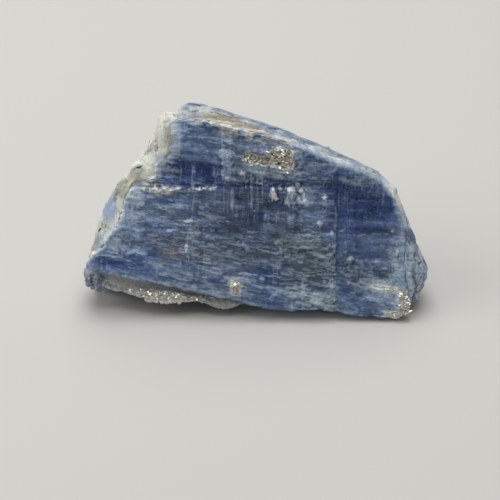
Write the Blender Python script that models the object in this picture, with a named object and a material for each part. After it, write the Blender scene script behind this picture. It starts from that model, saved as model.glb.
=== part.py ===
"""A blue kyanite specimen: flat blades grown together into one leaning lump that stands on its broken base.

Every blade is laid out in the lump's own leaning frame, in millimetres: a runs along the length, b runs up the
broad face, and c comes out of it, with 0 at the broad face and negative values behind it.
"""

import math
import random

import bmesh
import bpy
from mathutils import Matrix, Vector

MM = 0.001

# Driving dimensions
LEAN_DEG = 24.0  # the broad face leans back this far from upright
FACE_LIFT = 0.8  # height of the face's zero line above the floor
BACK_TAPER = 0.2  # how much thinner the lump gets for each millimetre up the face
GRAIN_DEG = -9.0  # the blades fall this much towards the right-hand end
CENTRE_X = -0.03  # middle of the finished lump along X, before it is centred
CENTRE_Y = 16.4  # middle of the finished lump along Y, before it is centred
WEAR = 0.45  # width of the worn edge round a blade's front
THIN_WEAR = 0.15  # the same round a thin lath's front
UNDERCUT = -30.0  # draft of the sides that face the floor
DOWNWARD = -0.7  # a side whose outward direction drops more than this faces the floor
APART = 0.06  # keeps the planes of neighbouring blades from lying exactly on each other

# Building
SOLVER = "MANIFOLD"
BLOCK = 400.0  # side of the stock that every blade is cut from
SHORTEST_EDGE = 0.08  # corners closer than this are made one
FLAT_ANGLE = 0.003  # faces that differ by less than this, in radians, are made one
EVEN_STEP = (0.7548777, 0.5698403)  # steps that spread points evenly over a square

# The lump's outline as seen square on to the broad face, from the top left corner clockwise.
OUTLINE = [
    (-17.2, 50.8), (-12.5, 51.2), (-8, 50.2), (1, 47.3), (13, 42.8), (20.5, 39.7), (29.5, 35.2), (33.5, 31.0),
    (35.2, 28), (37.6, 20), (41, 10.6), (41, 8.6), (39, 4.6), (36.5, 0.2), (30, 0), (16, 2.4), (2, 2.6), (-5, 1.8),
    (-10, 1.9), (-14, 3.4), (-24, 3.1), (-30, 5.2), (-40.4, 7.2), (-41, 10.2), (-38, 20.6), (-35.6, 27.5),
    (-31.8, 33), (-27, 39.5), (-22.5, 47), (-20.2, 48.8),
]

# The broad face: a few blades side by side, each with its outline and how far its front stands out.
FACE_BLADES = {
    "upper_left": dict(outline=[(-20, 47), (-20, 31), (-7, 31), (-7, 47.2), (-12.5, 48.3), (-18.5, 47.8)], front=0.0),
    "left_step": dict(outline=[(-19, 42), (-23.5, 38), (-23.5, 34), (-19.5, 31), (-12, 31), (-12, 42)], front=-0.5),
    "pocket": dict(outline=[(-8, 46.8), (-8, 32.4), (10.5, 32.4), (10.5, 41), (7, 43), (1, 45), (-5, 46.4)], front=0.35),
    "upper_right": dict(
        outline=[(9.5, 41.3), (9, 20), (34.3, 20), (33.5, 29), (32, 31), (29, 33), (23.5, 36), (18, 38.5)], front=-0.15
    ),
    "lower_right": dict(
        outline=[(18, 22.5), (18, 1.7), (23.5, 0.6), (34.5, 0.2), (37, 3.6), (37, 15.5), (35, 22.5)], front=0.1
    ),
    "middle_left": dict(outline=[(-28, 33), (-30, 31), (-32, 22), (-30.5, 13), (-14.4, 9), (-14.8, 32.4)], front=0.8),
    "middle": dict(
        outline=[(-14.9, 32.6), (-14.5, 8), (-3.5, 5.5), (10.5, 2.8), (19.3, 2.8), (19.3, 21), (0, 32.8)], front=0.6
    ),
    "middle_top": dict(outline=[(-3, 32.7), (-2, 20), (19.2, 18), (19.2, 32.3)], front=0.3),
    "left_tongue": dict(
        outline=[(-32, 22.5), (-35, 18.6), (-38.8, 14.6), (-33, 11), (-12, 8), (-10, 16), (-20, 24)], front=0.7
    ),
    "lower_left": dict(
        outline=[(-34, 16.2), (-39.3, 14), (-39.5, 12), (-30.5, 10), (-16, 7), (2, 3), (6, 3), (-12, 10.5), (-25, 14.5)],
        front=0.45,
    ),
    "bottom": dict(outline=[(-5, 6), (-3.5, 4), (2, 3), (9, 2.2), (16, 2.6), (20, 2), (20, 8.5), (-3.5, 9.5)], front=0.3),
}
FACE_BACK = -5.5
FACE_DRAFT = 8

# The paler blades behind the face that show as a rim: front is at the outline's middle and falls away outwards.
RIM_BLADES = {
    "top_left": dict(
        outline=[(-18.3, 47.5), (-17.2, 50.6), (-12.5, 51.0), (-8, 50.0), (-3.5, 48.5), (5.5, 45.4), (5, 40), (-15, 43)],
        front=-2.0, front_slope=(-0.2, -0.6), back=-11,
    ),
    "top_middle": dict(
        outline=[(-2, 47.9), (1, 47.1), (5.5, 45.7), (13, 42.6), (19, 39.9), (15, 34), (-4, 42)],
        front=-2.0, front_slope=(-0.28, -0.65), back=-11.5,
    ),
    "top_right": dict(
        outline=[(12, 42.8), (15.5, 41.6), (20.5, 39.5), (26, 37.0), (29.5, 35.0), (26, 28), (10, 36)],
        front=-1.8, front_slope=(-0.35, -0.7), back=-12,
    ),
    "shoulder": dict(
        outline=[(25, 37.2), (29.5, 35.1), (32.5, 32.4), (34.2, 29.5), (34.6, 27.5), (30, 22), (22, 30)],
        front=-2.0, front_slope=(-0.5, -0.55), back=-13,
    ),
    "right_upper": dict(
        outline=[(33, 30), (35.2, 28), (36.2, 24), (37.6, 20), (38.8, 16), (33, 12), (30, 26)],
        front=-2.2, front_slope=(-0.55, -0.1), back=-13,
    ),
    "right_lower": dict(
        outline=[(36, 19), (38.8, 16.2), (41, 10.6), (41, 8.6), (40, 5.6), (38.4, 4.3), (32, 4), (33, 17)],
        front=-2.8, front_slope=(-0.45, 0.0), back=-14,
    ),
    "right_foot": dict(
        outline=[(36, 9), (37.6, 5), (37.2, 1.7), (35.5, 0.1), (29, 0.3), (28, 7)],
        front=-0.9, front_slope=(-0.3, 0.1), back=-9,
    ),
    "left_corner": dict(
        outline=[(-22.5, 47), (-20.3, 48.6), (-17.8, 49.0), (-15, 44), (-16, 38), (-24, 39.5), (-24.6, 43), (-22.8, 45)],
        front=-2.2, front_slope=(0.45, -0.2), back=-13,
    ),
    "left_upper": dict(
        outline=[(-24.2, 42.5), (-27, 39.3), (-29.5, 35.5), (-31.6, 33), (-28, 29), (-20, 30), (-18, 41)],
        front=-2.6, front_slope=(0.4, -0.3), back=-14,
    ),
    "left_middle": dict(
        outline=[(-31.6, 33), (-33.4, 30.2), (-35.4, 27.5), (-36.8, 24.5), (-37.6, 20.6), (-34, 16), (-27, 20), (-26, 31)],
        front=-2.4, front_slope=(0.45, -0.1), back=-14,
    ),
    "left_lower": dict(
        outline=[(-37.4, 21), (-38.8, 16.4), (-40.4, 12.6), (-40.9, 10.2), (-40, 8.4), (-36, 9), (-30, 12), (-31, 18)],
        front=-2.4, front_slope=(0.35, 0.1), back=-13,
    ),
}
RIM_DRAFT = -7
RIM_CAP = -0.35  # no blade of the rim stands further out than this

# The shelf under the lower left edge: its front slopes out towards the floor, so the blade above overhangs it.
SHELF_BLADES = {
    "groove": dict(
        outline=[(-37.8, 10.4), (-35.5, 7.0), (-27.3, 4.6), (-15.5, 3.7), (-7.1, 2.2), (-4, 3.4), (-15, 7.5), (-36, 13)],
        front=-6.0, front_slope=(0.01, -0.75), back=-14,
    ),
    "groove_floor": dict(
        outline=[(-33, 8), (-31, 5.4), (-22, 3.6), (-12, 2.4), (-8, 6)],
        front=-6.3, front_slope=(0.03, -0.35), back=-15,
    ),
    "lip": dict(
        outline=[(-33.5, 6.8), (-31, 4.9), (-25.5, 3.5), (-22, 2.8), (-17, 3.1), (-14.5, 4.4), (-18, 5.4), (-30, 6.9)],
        front=-3.9, front_slope=(0.03, -0.3), back=-9,
    ),
    "lip_right": dict(
        outline=[(-14, 4.2), (-11, 2.4), (-8, 1.4), (-5, 1.5), (-2, 2.6), (-8, 4.6)],
        front=-3.4, front_slope=(0.0, -0.3), back=-9,
    ),
    "left_prism": dict(
        outline=[(-40.9, 10.4), (-41.0, 8.4), (-38.6, 7.0), (-36.2, 7.4), (-35.6, 9.4), (-37, 11.8), (-39.4, 12.4)],
        front=-2.2, front_slope=(0.15, -0.35), back=-12,
    ),
    "left_prism_low": dict(
        outline=[(-39.6, 8.4), (-38.6, 6.4), (-33.4, 5.0), (-30.5, 5.4), (-31, 7.4), (-36, 9)],
        front=-4.2, front_slope=(-0.1, -0.4), back=-12,
    ),
}

# The inner mass that everything is grown to, set in from the outline.
INNER_BLADES = {
    "core": dict(
        outline=[(-33, 14), (-27, 29), (-17, 44), (-3, 44), (24, 33), (33, 22), (36, 10), (34, 5), (0, 5)],
        front=-3.2, back=-13,
    ),
    "heart": dict(
        outline=[(-31, 9), (-25, 28), (-14, 40), (0, 40), (20, 31), (30, 20), (33, -3), (-29, -3)],
        front=-12, back=-17.5,
    ),
    "right_sole": dict(
        outline=[(-9, 5), (-7, -3), (33, -3), (35, 6), (10, 12)],
        front=-5.2, back=-14,
    ),
}

# Layers of blades that run the length of the lump, row above row, and end short of the outline, so the ends step in.
ROW_LAYERS = {
    "behind_face": dict(
        seed=3, slant=GRAIN_DEG, pitch=4.6, inset=(0.8, 2.4), front=(-4.0, -5.6), back=(-11.5, -13.0), breaks=0,
        floor=False,
    ),
    "middle": dict(
        seed=5, slant=-5.0, pitch=5.6, inset=(1.8, 4.4), front=(-10.8, -12.0), back=(-15.2, -17.0), breaks=1, floor=True,
    ),
    "back": dict(
        seed=8, slant=-11.0, pitch=6.8, inset=(3.5, 8.5), front=(-13.0, -14.0), back=(-18.2, -20.4), breaks=2, floor=True,
    ),
}
FOOT_DEPTH = -4.0  # how far down the face the rows that reach the floor are drawn before it cuts them
LOWEST_END = 6.0  # rows lower than this end where the outline does at this height
SHORTEST_LENGTH = 3.0

# Hollows under the lump, as it stands: where each is on the floor, and its size.
FOOT_HOLLOWS = [
    dict(place=(-25, -0.1), size=(19, 9, 5), seed=103),
    dict(place=(-34, 6.4), size=(12, 9, 6), seed=105),
    dict(place=(-14, 6.4), size=(18, 12, 7), seed=107),
    dict(place=(3, -12.1), size=(20, 9, 6), seed=109),
    dict(place=(30, 3.4), size=(17, 13, 8), seed=113),
    dict(place=(19, -8.1), size=(12, 10, 5), seed=127),
    dict(place=(9, 8.4), size=(16, 9, 6), seed=131),
    dict(place=(33, -8.6), size=(9, 9, 4), seed=137),
]

# Runs of thin laths along the grain, each standing a little off the blade under it; root is how deep it starts.
GRAIN_RUNS = {
    "face": dict(
        seed=17, count=46, lengths=(4, 20), widths=(0.4, 2.4), lift=(0.06, 0.3), slant=GRAIN_DEG, root=-2.5, draft=35,
    ),
    "back": dict(
        seed=23, count=8, lengths=(8, 20), widths=(1.2, 3.4), lift=(0.2, 0.7), slant=-8.0, root=-14, draft=-10,
    ),
}
GRAIN_SPAN = ((-40, 40), (3, 49))  # the laths' middles lie between these along the lump and up the face
BACK_MARGIN = 1.35  # laths on the back keep inside the outline shrunk by this
BACK_MIDDLE = 20.0  # height up the face about which it is shrunk

# Splinters along the broken edges: they lie between two points, slanted, each a little proud of the rim under it.
SPLINTER_RUNS = {
    "top_rim_left": dict(
        seed=31, count=14, start=(-16.5, 49.8), end=(3, 46.0), stray=1.1, slant=-14, lengths=(3.5, 8), widths=(0.5, 1.3),
    ),
    "top_rim_right": dict(
        seed=33, count=17, start=(1, 46.2), end=(28, 35.2), stray=1.1, slant=-22, lengths=(4, 9), widths=(0.5, 1.3),
    ),
    "shoulder_rim": dict(
        seed=37, count=9, start=(26, 35.8), end=(34.0, 28.4), stray=1.0, slant=-44, lengths=(3, 8), widths=(0.6, 1.5),
    ),
    "right_rim": dict(
        seed=41, count=15, start=(35.4, 24), end=(39.6, 7), stray=1.0, slant=-73, lengths=(4, 10), widths=(0.6, 1.5),
    ),
    "left_rim": dict(
        seed=43, count=12, start=(-22, 42), end=(-38.5, 12), stray=1.8, slant=58, lengths=(3, 8), widths=(0.8, 2.0),
    ),
}
SPLINTER_LIFT = (0.1, 0.75)
SPLINTER_DEPTH = 4.0
SPLINTER_DRAFT = -4.0
OVERHANG = 0.2  # share of a splinter's half length that may stand out past the outline

# Lumps of paler quartz and mica that crust the left end and sit along the foot.
LUMP_RUNS = {
    "left_crust": dict(seed=61, count=30, start=(-20.6, 46.8), end=(-38.2, 11), sizes=(1.4, 3.0), depths=(-2.2, -7)),
    "left_flank": dict(seed=67, count=16, start=(-22.5, 40), end=(-35, 9), sizes=(2.0, 4.0), depths=(-8, -15)),
    "lip_mica": dict(seed=71, count=12, start=(-27, 5.2), end=(-15.5, 4.0), sizes=(1.0, 1.9), depths=(-3.6, -4.6)),
    "foot_mica": dict(seed=73, count=9, start=(31, 2.2), end=(35.8, 5), sizes=(1.2, 2.2), depths=(-0.6, -1.8)),
}

GRAIN_FACES = 9  # flat faces on one grain

# Pits in the face: centre and size of each hollow, in the leaning frame.
PITS = [
    dict(centre=(6.0, 38.6, 1.0), size=(6.2, 4.4, 3.4), seed=83),
    dict(centre=(-1.2, 38.4, 1.0), size=(3.6, 2.6, 2.4), seed=89),
    dict(centre=(4.4, 30.0, 1.3), size=(1.8, 2.2, 2.0), seed=97),
    dict(centre=(-4.6, 6.6, 1.4), size=(3.2, 3.4, 2.4), seed=101),
]
HOLLOW_FACES = 15  # flat faces on the inside of a pit or a hollow


def cut(mesh, point, normal):
    """Cuts off what lies beyond a plane and closes the cut."""
    geometry = mesh.verts[:] + mesh.edges[:] + mesh.faces[:]
    made = bmesh.ops.bisect_plane(
        mesh, geom=geometry, dist=1e-7, plane_co=point, plane_no=normal, clear_outer=True
    )["geom_cut"]
    edges = [item for item in made if isinstance(item, bmesh.types.BMEdge)]
    if edges:
        bmesh.ops.holes_fill(mesh, edges=edges, sides=0)


def middle_of(outline):
    """The mean of an outline's corners."""
    return sum((Vector(p) for p in outline), Vector((0, 0))) / len(outline)


def outline_planes(outline, draft):
    """A point and an outward normal for each side of an outline, drafted towards the back or, if low, undercut."""
    middle = middle_of(outline)
    planes = []
    for first, last in zip(outline, outline[1:] + outline[:1]):
        side = Vector(last) - Vector(first)
        out = Vector((side.y, -side.x)).normalized()
        if out.dot(Vector(first) - middle) < 0:
            out = -out
        spread = math.radians(UNDERCUT if out.y < DOWNWARD else draft)
        planes.append((Vector((*first, 0)), Vector((*(out * math.cos(spread)), math.sin(spread)))))
    return planes


def blade(outline, front, back, front_slope=(0, 0), back_slope=(0, 0), draft=0, wear=WEAR, cap=None):
    """One blade as a closed mesh: its outline's sides, a front and a back plane, and a worn edge round the front."""
    middle = middle_of(outline)
    front_point = Vector((*middle, front))
    front_normal = Vector((-front_slope[0], -front_slope[1], 1)).normalized()
    back_point = Vector((*middle, back))
    back_normal = Vector((back_slope[0], back_slope[1], -1)).normalized()
    mesh = bmesh.new()
    bmesh.ops.create_cube(mesh, size=BLOCK)
    for point, normal in outline_planes(outline, draft):
        # slide the side's point down to the front plane, so that the outline is the blade's outline in front
        slide = front_normal.dot(front_point - point) / front_normal.z
        edge = point + Vector((0, 0, slide))
        cut(mesh, edge, normal)
        cut(mesh, edge - front_normal * wear, (normal + front_normal).normalized())
    cut(mesh, front_point, front_normal)
    cut(mesh, back_point, back_normal)
    if cap is not None:
        cut(mesh, Vector((0, 0, cap)), Vector((0, 0, 1)))
    return mesh


def lath_outline(middle, length, width, slant, rng):
    """A thin four-sided outline along a slanted line, with uneven ends."""
    along = Vector((math.cos(slant), math.sin(slant)))
    across = Vector((-along.y, along.x))
    corners = []
    for end, side in ((-1, -1), (1, -1), (1, 1), (-1, 1)):
        reach = end * length / 2 * rng.uniform(0.86, 1.0)
        corners.append(tuple(Vector(middle) + along * reach + across * (side * width / 2 * rng.uniform(0.7, 1.0))))
    return corners


def lump(centre, size, rng, faces):
    """A broken grain: a ball of stock with flat faces struck off it at scattered angles."""
    mesh = bmesh.new()
    bmesh.ops.create_cube(mesh, size=BLOCK)
    middle = Vector(centre)
    turn = rng.uniform(0, math.tau)
    for index in range(faces):
        height = 1 - 2 * (index + 0.5) / faces
        angle = turn + index * math.pi * (3 - math.sqrt(5))
        flat = math.sqrt(1 - height * height)
        normal = Vector((flat * math.cos(angle), flat * math.sin(angle), height))
        reach = math.sqrt(sum((normal[i] * size[i] / 2) ** 2 for i in range(3))) * rng.uniform(0.8, 1.05)
        cut(mesh, middle + normal * reach, normal)
    return mesh


def crossings(outline, height):
    """Where a level line crosses an outline, from left to right."""
    found = []
    for first, last in zip(outline, outline[1:] + outline[:1]):
        if (first[1] > height) != (last[1] > height):
            found.append(first[0] + (height - first[1]) / (last[1] - first[1]) * (last[0] - first[0]))
    return sorted(found)


def inside(point, outline):
    """Whether a flat point lies inside an outline."""
    return sum(at > point[0] for at in crossings(outline, point[1])) % 2 == 1


def turned(points, angle):
    """Flat points turned about the origin."""
    cos, sin = math.cos(angle), math.sin(angle)
    return [(x * cos - y * sin, x * sin + y * cos) for x, y in points]


def row_layer(layer):
    """Blades laid side by side up the lump, each row reaching nearly to the outline and broken into lengths."""
    rng = random.Random(layer["seed"])
    slant = math.radians(layer["slant"])
    outline = turned(OUTLINE, -slant)
    lowest = FOOT_DEPTH if layer["floor"] else min(y for _, y in outline)
    highest = max(y for _, y in outline) - layer["inset"][0]
    made = []
    height = lowest + layer["pitch"] / 2
    while height < highest:
        low = height - layer["pitch"] * rng.uniform(0.55, 0.8)
        top = min(height + layer["pitch"] * rng.uniform(0.55, 0.8), highest)
        levels = [max(level, LOWEST_END) if layer["floor"] else level for level in (low, height, top)]
        ends = [crossings(outline, level) for level in levels]
        left = max(found[0] for found in ends if found) + rng.uniform(*layer["inset"])
        right = min(found[-1] for found in ends if found) - rng.uniform(*layer["inset"])
        breaks = sorted(rng.uniform(left, right) for _ in range(layer["breaks"]))
        taper = BACK_TAPER * (height - OUTLINE[0][1] / 2)
        for start, stop in zip([left, *breaks], [*breaks, right]):
            skew = [rng.uniform(-1.2, 1.2) for _ in range(4)]
            corners = [(start + skew[0], low), (stop + skew[1], low), (stop + skew[2], top), (start + skew[3], top)]
            front = rng.uniform(*sorted(layer["front"]))
            back = rng.uniform(*sorted(layer["back"])) + taper
            tilt = (rng.uniform(-0.03, 0.03), BACK_TAPER + rng.uniform(-0.1, 0.1))
            if stop - start > SHORTEST_LENGTH:
                made.append(blade(turned(corners, slant), front, back, back_slope=tilt, draft=rng.uniform(-6, 2)))
        height += layer["pitch"]
    return made


def face_level(point):
    """How far the broad face stands out at a flat point, or None off the face."""
    levels = [form["front"] for form in FACE_BLADES.values() if inside(point, form["outline"])]
    return max(levels) if levels else None


def back_level(point):
    """Depth of the back layer's mean surface at a flat point, or None near its edge."""
    spread = (point[0] * BACK_MARGIN, (point[1] - BACK_MIDDLE) * BACK_MARGIN + BACK_MIDDLE)
    if not inside(spread, OUTLINE):
        return None
    return sum(ROW_LAYERS["back"]["back"]) / 2 + BACK_TAPER * (point[1] - OUTLINE[0][1] / 2)


def grain_run(name, run):
    """Thin laths scattered over the face or the back, each one whole inside it."""
    rng = random.Random(run["seed"])
    level = {"face": face_level, "back": back_level}[name]
    made = []
    step = 0
    while len(made) < run["count"]:
        step += 1
        middle = [low + (high - low) * (step * even % 1) for (low, high), even in zip(GRAIN_SPAN, EVEN_STEP)]
        slant = math.radians(run["slant"] + rng.uniform(-3, 3))
        outline = lath_outline(middle, rng.uniform(*run["lengths"]), rng.uniform(*run["widths"]), slant, rng)
        tilt = (rng.uniform(-0.01, 0.01), rng.uniform(-0.08, 0.08))
        lift = rng.uniform(*run["lift"])
        levels = [level(point) for point in (middle, *outline)]
        if None in levels:
            continue
        form = dict(outline=outline, draft=run["draft"], wear=THIN_WEAR)
        root = run["root"] - rng.random()
        if name == "face":
            made.append(blade(front=max(levels) + lift, back=root, front_slope=tilt, **form))
        else:
            slope = (tilt[0], BACK_TAPER + tilt[1])
            made.append(blade(front=root, back=levels[0] - lift, back_slope=slope, **form))
    return made


def rim_under(point):
    """Height and slope of the rim at a flat point, or None off the rim."""
    found = []
    for form in RIM_BLADES.values():
        if inside(point, form["outline"]):
            rise = (Vector(point) - middle_of(form["outline"])).dot(Vector(form["front_slope"]))
            found.append((form["front"] + rise, form["front_slope"]))
    return max(found) if found else None


def splinter_run(run):
    """Laths scattered along a broken edge, each one lying a little proud of the rim."""
    rng = random.Random(run["seed"])
    made = []
    while len(made) < run["count"]:
        middle = Vector(run["start"]).lerp(Vector(run["end"]), rng.random())
        middle += Vector((rng.uniform(-1, 1), rng.uniform(-1, 1))) * run["stray"]
        slant = math.radians(run["slant"] + rng.uniform(-6, 6))
        outline = lath_outline(middle, rng.uniform(*run["lengths"]), rng.uniform(*run["widths"]), slant, rng)
        lift = rng.uniform(*SPLINTER_LIFT)
        under = rim_under(middle)
        if under is None or not all(inside(Vector(corner).lerp(middle, OVERHANG), OUTLINE) for corner in outline):
            continue
        level, slope = under
        tilt = (slope[0] + rng.uniform(-0.05, 0.05), slope[1] + rng.uniform(-0.12, 0.12))
        form = dict(outline=outline, draft=SPLINTER_DRAFT, wear=THIN_WEAR, cap=RIM_CAP - lift / 2)
        made.append(blade(front=level + lift, back=level - SPLINTER_DEPTH - lift, front_slope=tilt, **form))
    return made


def lump_run(run):
    """Broken grains scattered along an edge."""
    rng = random.Random(run["seed"])
    made = []
    for index in range(run["count"]):
        share = (index + rng.uniform(0, 1)) / run["count"]
        flat = Vector(run["start"]).lerp(Vector(run["end"]), share)
        size = rng.uniform(*run["sizes"])
        centre = (flat.x + rng.uniform(-0.8, 1.2), flat.y + rng.uniform(-1, 1), rng.uniform(*sorted(run["depths"])))
        stretch = (size * rng.uniform(1.0, 1.8), size, size * rng.uniform(0.8, 1.3))
        made.append(lump(centre, stretch, rng, GRAIN_FACES))
    return made


def leaning_frame():
    """From the leaning frame in millimetres to the standing specimen in metres."""
    lean = math.radians(LEAN_DEG)
    frame = Matrix(
        (
            (1, 0, 0, -CENTRE_X),
            (0, math.sin(lean), -math.cos(lean), -CENTRE_Y),
            (0, math.cos(lean), math.sin(lean), FACE_LIFT),
            (0, 0, 0, 1),
        )
    )
    return Matrix.Scale(MM, 4) @ frame


def object_from(mesh, name, collection):
    """Makes an object of a blade's mesh, closed and facing out."""
    data = bpy.data.meshes.new(name)
    bmesh.ops.remove_doubles(mesh, verts=mesh.verts, dist=SHORTEST_EDGE)
    bmesh.ops.recalc_face_normals(mesh, faces=mesh.faces)
    bmesh.ops.triangulate(mesh, faces=mesh.faces)
    mesh.to_mesh(data)
    mesh.free()
    made = bpy.data.objects.new(name, data)
    collection.objects.link(made)
    return made


def combine(body, others, operation):
    """Applies one Boolean between the body and everything in another collection, which it then empties."""
    boolean = body.modifiers.new(operation.lower(), "BOOLEAN")
    boolean.operation = operation
    boolean.operand_type = "COLLECTION"
    boolean.solver = SOLVER
    boolean.collection = others
    graph = bpy.context.evaluated_depsgraph_get()
    joined = bpy.data.meshes.new_from_object(body.evaluated_get(graph))
    body.modifiers.clear()
    body.data = joined
    for spent in list(others.objects):
        bpy.data.objects.remove(spent)


def close_short_edges(mesh):
    """Brings the two ends of each very short edge together, wherever that leaves the skin closed."""
    closing = True
    while closing:
        closing = {}
        touched = set()
        for edge in mesh.edges:
            first, last = edge.verts
            first_ring = {side.other_vert(first) for side in first.link_edges}
            last_ring = {side.other_vert(last) for side in last.link_edges}
            free = not touched & (first_ring | last_ring)
            if free and edge.calc_length() < SHORTEST_EDGE and len(first_ring & last_ring) == 2:
                touched |= first_ring | last_ring
                last.co = (first.co + last.co) / 2
                closing[first] = last
        bmesh.ops.weld_verts(mesh, targetmap=closing)


def loose_skins(mesh):
    """The separate skins of a mesh, smallest first, each as its list of faces joined edge to edge."""
    unseen = set(mesh.faces)
    skins = []
    while unseen:
        found = [unseen.pop()]
        for face in found:
            for other in {near for edge in face.edges for near in edge.link_faces} & unseen:
                unseen.remove(other)
                found.append(other)
        skins.append(found)
    return sorted(skins, key=len)


def clean_skin(body):
    """Joins flat neighbours, closes short edges, and drops gaps sealed between the blades and chips cut free."""
    mesh = bmesh.new()
    mesh.from_mesh(body.data)
    bmesh.ops.dissolve_limit(mesh, angle_limit=FLAT_ANGLE, verts=mesh.verts, edges=mesh.edges)
    bmesh.ops.triangulate(mesh, faces=mesh.faces)
    close_short_edges(mesh)
    for skin in loose_skins(mesh)[:-1]:
        bmesh.ops.delete(mesh, geom=skin, context="FACES")
    mesh.to_mesh(body.data)
    mesh.free()


def floor_block():
    """Everything under the floor, in the leaning frame, which leaves the lump a flat foot."""
    mesh = bmesh.new()
    bmesh.ops.create_cube(mesh, size=BLOCK)
    floor_normal = leaning_frame().inverted().to_3x3().col[2].normalized()
    cut(mesh, leaning_frame().inverted() @ Vector((0, 0, 0)), floor_normal)
    return mesh


def kyanite_material():
    material = bpy.data.materials.new("kyanite")
    material.use_nodes = True
    shader = material.node_tree.nodes["Principled BSDF"]
    shader.inputs["Base Color"].default_value = (0.055, 0.11, 0.27, 1)
    shader.inputs["Roughness"].default_value = 0.42
    shader.inputs["Metallic"].default_value = 0.0
    return material


def new_collection(name):
    collection = bpy.data.collections.new(name)
    bpy.context.scene.collection.children.link(collection)
    return collection


def main():
    for leftover in list(bpy.data.objects):
        bpy.data.objects.remove(leftover)
    specimen = new_collection("kyanite_blade_cluster")
    grown = [blade(**form) for form in INNER_BLADES.values()]
    for index, form in enumerate(FACE_BLADES.values()):
        grown.append(blade(back=FACE_BACK - APART * index, draft=FACE_DRAFT, **form))
    for index, form in enumerate(RIM_BLADES.values()):
        grown.append(blade(draft=RIM_DRAFT, cap=RIM_CAP - APART * index, **form))
    grown += [blade(draft=RIM_DRAFT, **form) for form in SHELF_BLADES.values()]
    for layer in ROW_LAYERS.values():
        grown += row_layer(layer)
    for name, run in GRAIN_RUNS.items():
        grown += grain_run(name, run)
    for run in SPLINTER_RUNS.values():
        grown += splinter_run(run)
    for run in LUMP_RUNS.values():
        grown += lump_run(run)
    body = object_from(grown[0], "kyanite_blades", specimen)
    tools = new_collection("tools")
    for index, mesh in enumerate(grown[1:]):
        object_from(mesh, f"grown_{index}", tools)
    combine(body, tools, "UNION")
    for index, pit in enumerate(PITS):
        mesh = lump(pit["centre"], pit["size"], random.Random(pit["seed"]), HOLLOW_FACES)
        object_from(mesh, f"pit_{index}", tools)
    for index, hollow in enumerate(FOOT_HOLLOWS):
        centre = leaning_frame().inverted() @ (Vector((*hollow["place"], 0)) * MM)
        mesh = lump(centre, hollow["size"], random.Random(hollow["seed"]), HOLLOW_FACES)
        object_from(mesh, f"hollow_{index}", tools)
    object_from(floor_block(), "floor", tools)
    combine(body, tools, "DIFFERENCE")
    clean_skin(body)
    body.data.transform(leaning_frame())
    body.data.materials.clear()
    body.data.materials.append(kyanite_material())


main()
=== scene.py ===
import math

import bmesh
import bpy
import numpy as np
from mathutils import Matrix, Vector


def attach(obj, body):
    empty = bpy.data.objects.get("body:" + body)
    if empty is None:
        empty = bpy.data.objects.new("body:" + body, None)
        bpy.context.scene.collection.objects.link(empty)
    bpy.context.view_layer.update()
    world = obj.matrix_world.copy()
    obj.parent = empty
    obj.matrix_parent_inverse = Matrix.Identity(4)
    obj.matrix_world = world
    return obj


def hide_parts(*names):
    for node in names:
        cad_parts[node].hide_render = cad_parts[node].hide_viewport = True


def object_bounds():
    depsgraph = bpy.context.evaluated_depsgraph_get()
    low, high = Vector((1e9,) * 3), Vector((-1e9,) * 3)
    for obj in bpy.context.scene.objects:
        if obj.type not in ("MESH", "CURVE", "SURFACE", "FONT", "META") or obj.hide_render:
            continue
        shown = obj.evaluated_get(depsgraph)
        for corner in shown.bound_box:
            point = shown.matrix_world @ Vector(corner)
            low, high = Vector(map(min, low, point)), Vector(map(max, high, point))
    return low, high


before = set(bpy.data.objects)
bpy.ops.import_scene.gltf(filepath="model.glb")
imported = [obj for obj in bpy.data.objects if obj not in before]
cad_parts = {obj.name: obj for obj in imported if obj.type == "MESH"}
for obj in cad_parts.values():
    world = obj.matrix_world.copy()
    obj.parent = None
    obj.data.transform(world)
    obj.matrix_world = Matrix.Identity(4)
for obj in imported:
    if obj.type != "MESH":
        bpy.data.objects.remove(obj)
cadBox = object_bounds()
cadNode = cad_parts["kyanite_blades"]
print("frame loaded")

# Leaning frame, in mm: a runs along the lump, b up the broad face and c out of it
lean = dict(degrees=24.0, lift=0.8, middleX=-0.03, middleY=16.4)
leanSin, leanCos = math.sin(math.radians(lean["degrees"])), math.cos(math.radians(lean["degrees"]))
turnSin, turnCos = 0.208, 0.978  # the viewer looks at the broad face 12 degrees from straight on
forward = np.array([0.0, turnSin, turnCos])  # from the broad face towards the viewer
grainFall = 0.16  # the grain falls this much for each mm along, which is 9 degrees
millimetre = 0.001


def toWorld(p):
    # x = a - middleX, y = b sin - c cos - middleY, z = b cos + c sin + lift, all turned from mm to metres
    a, b, c = p[..., 0], p[..., 1], p[..., 2]
    y = b * leanSin - c * leanCos - lean["middleY"]
    return millimetre * np.stack([a - lean["middleX"], y, b * leanCos + c * leanSin + lean["lift"]], -1)


def toLean(p):
    # the same turn backwards: b = y sin + z cos, c = z sin - y cos
    x, y = 1000 * p[..., 0] + lean["middleX"], 1000 * p[..., 1] + lean["middleY"]
    z = 1000 * p[..., 2] - lean["lift"]
    return np.stack([x, y * leanSin + z * leanCos, z * leanSin - y * leanCos], -1)


def heightSeen(b, c):
    # how high a point shows to the viewer: b cos - c sin of their 12 degrees
    return turnCos * b - turnSin * c


def overFloor(p, least=0.02):
    # points lower than the least height, in mm, are lifted straight up to it
    height = p[..., 1] * leanCos + p[..., 2] * leanSin + lean["lift"]
    short = np.maximum(least - height, 0)
    return p + short[..., None] * np.array([0, leanCos, leanSin])


# Noise and small helpers

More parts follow.
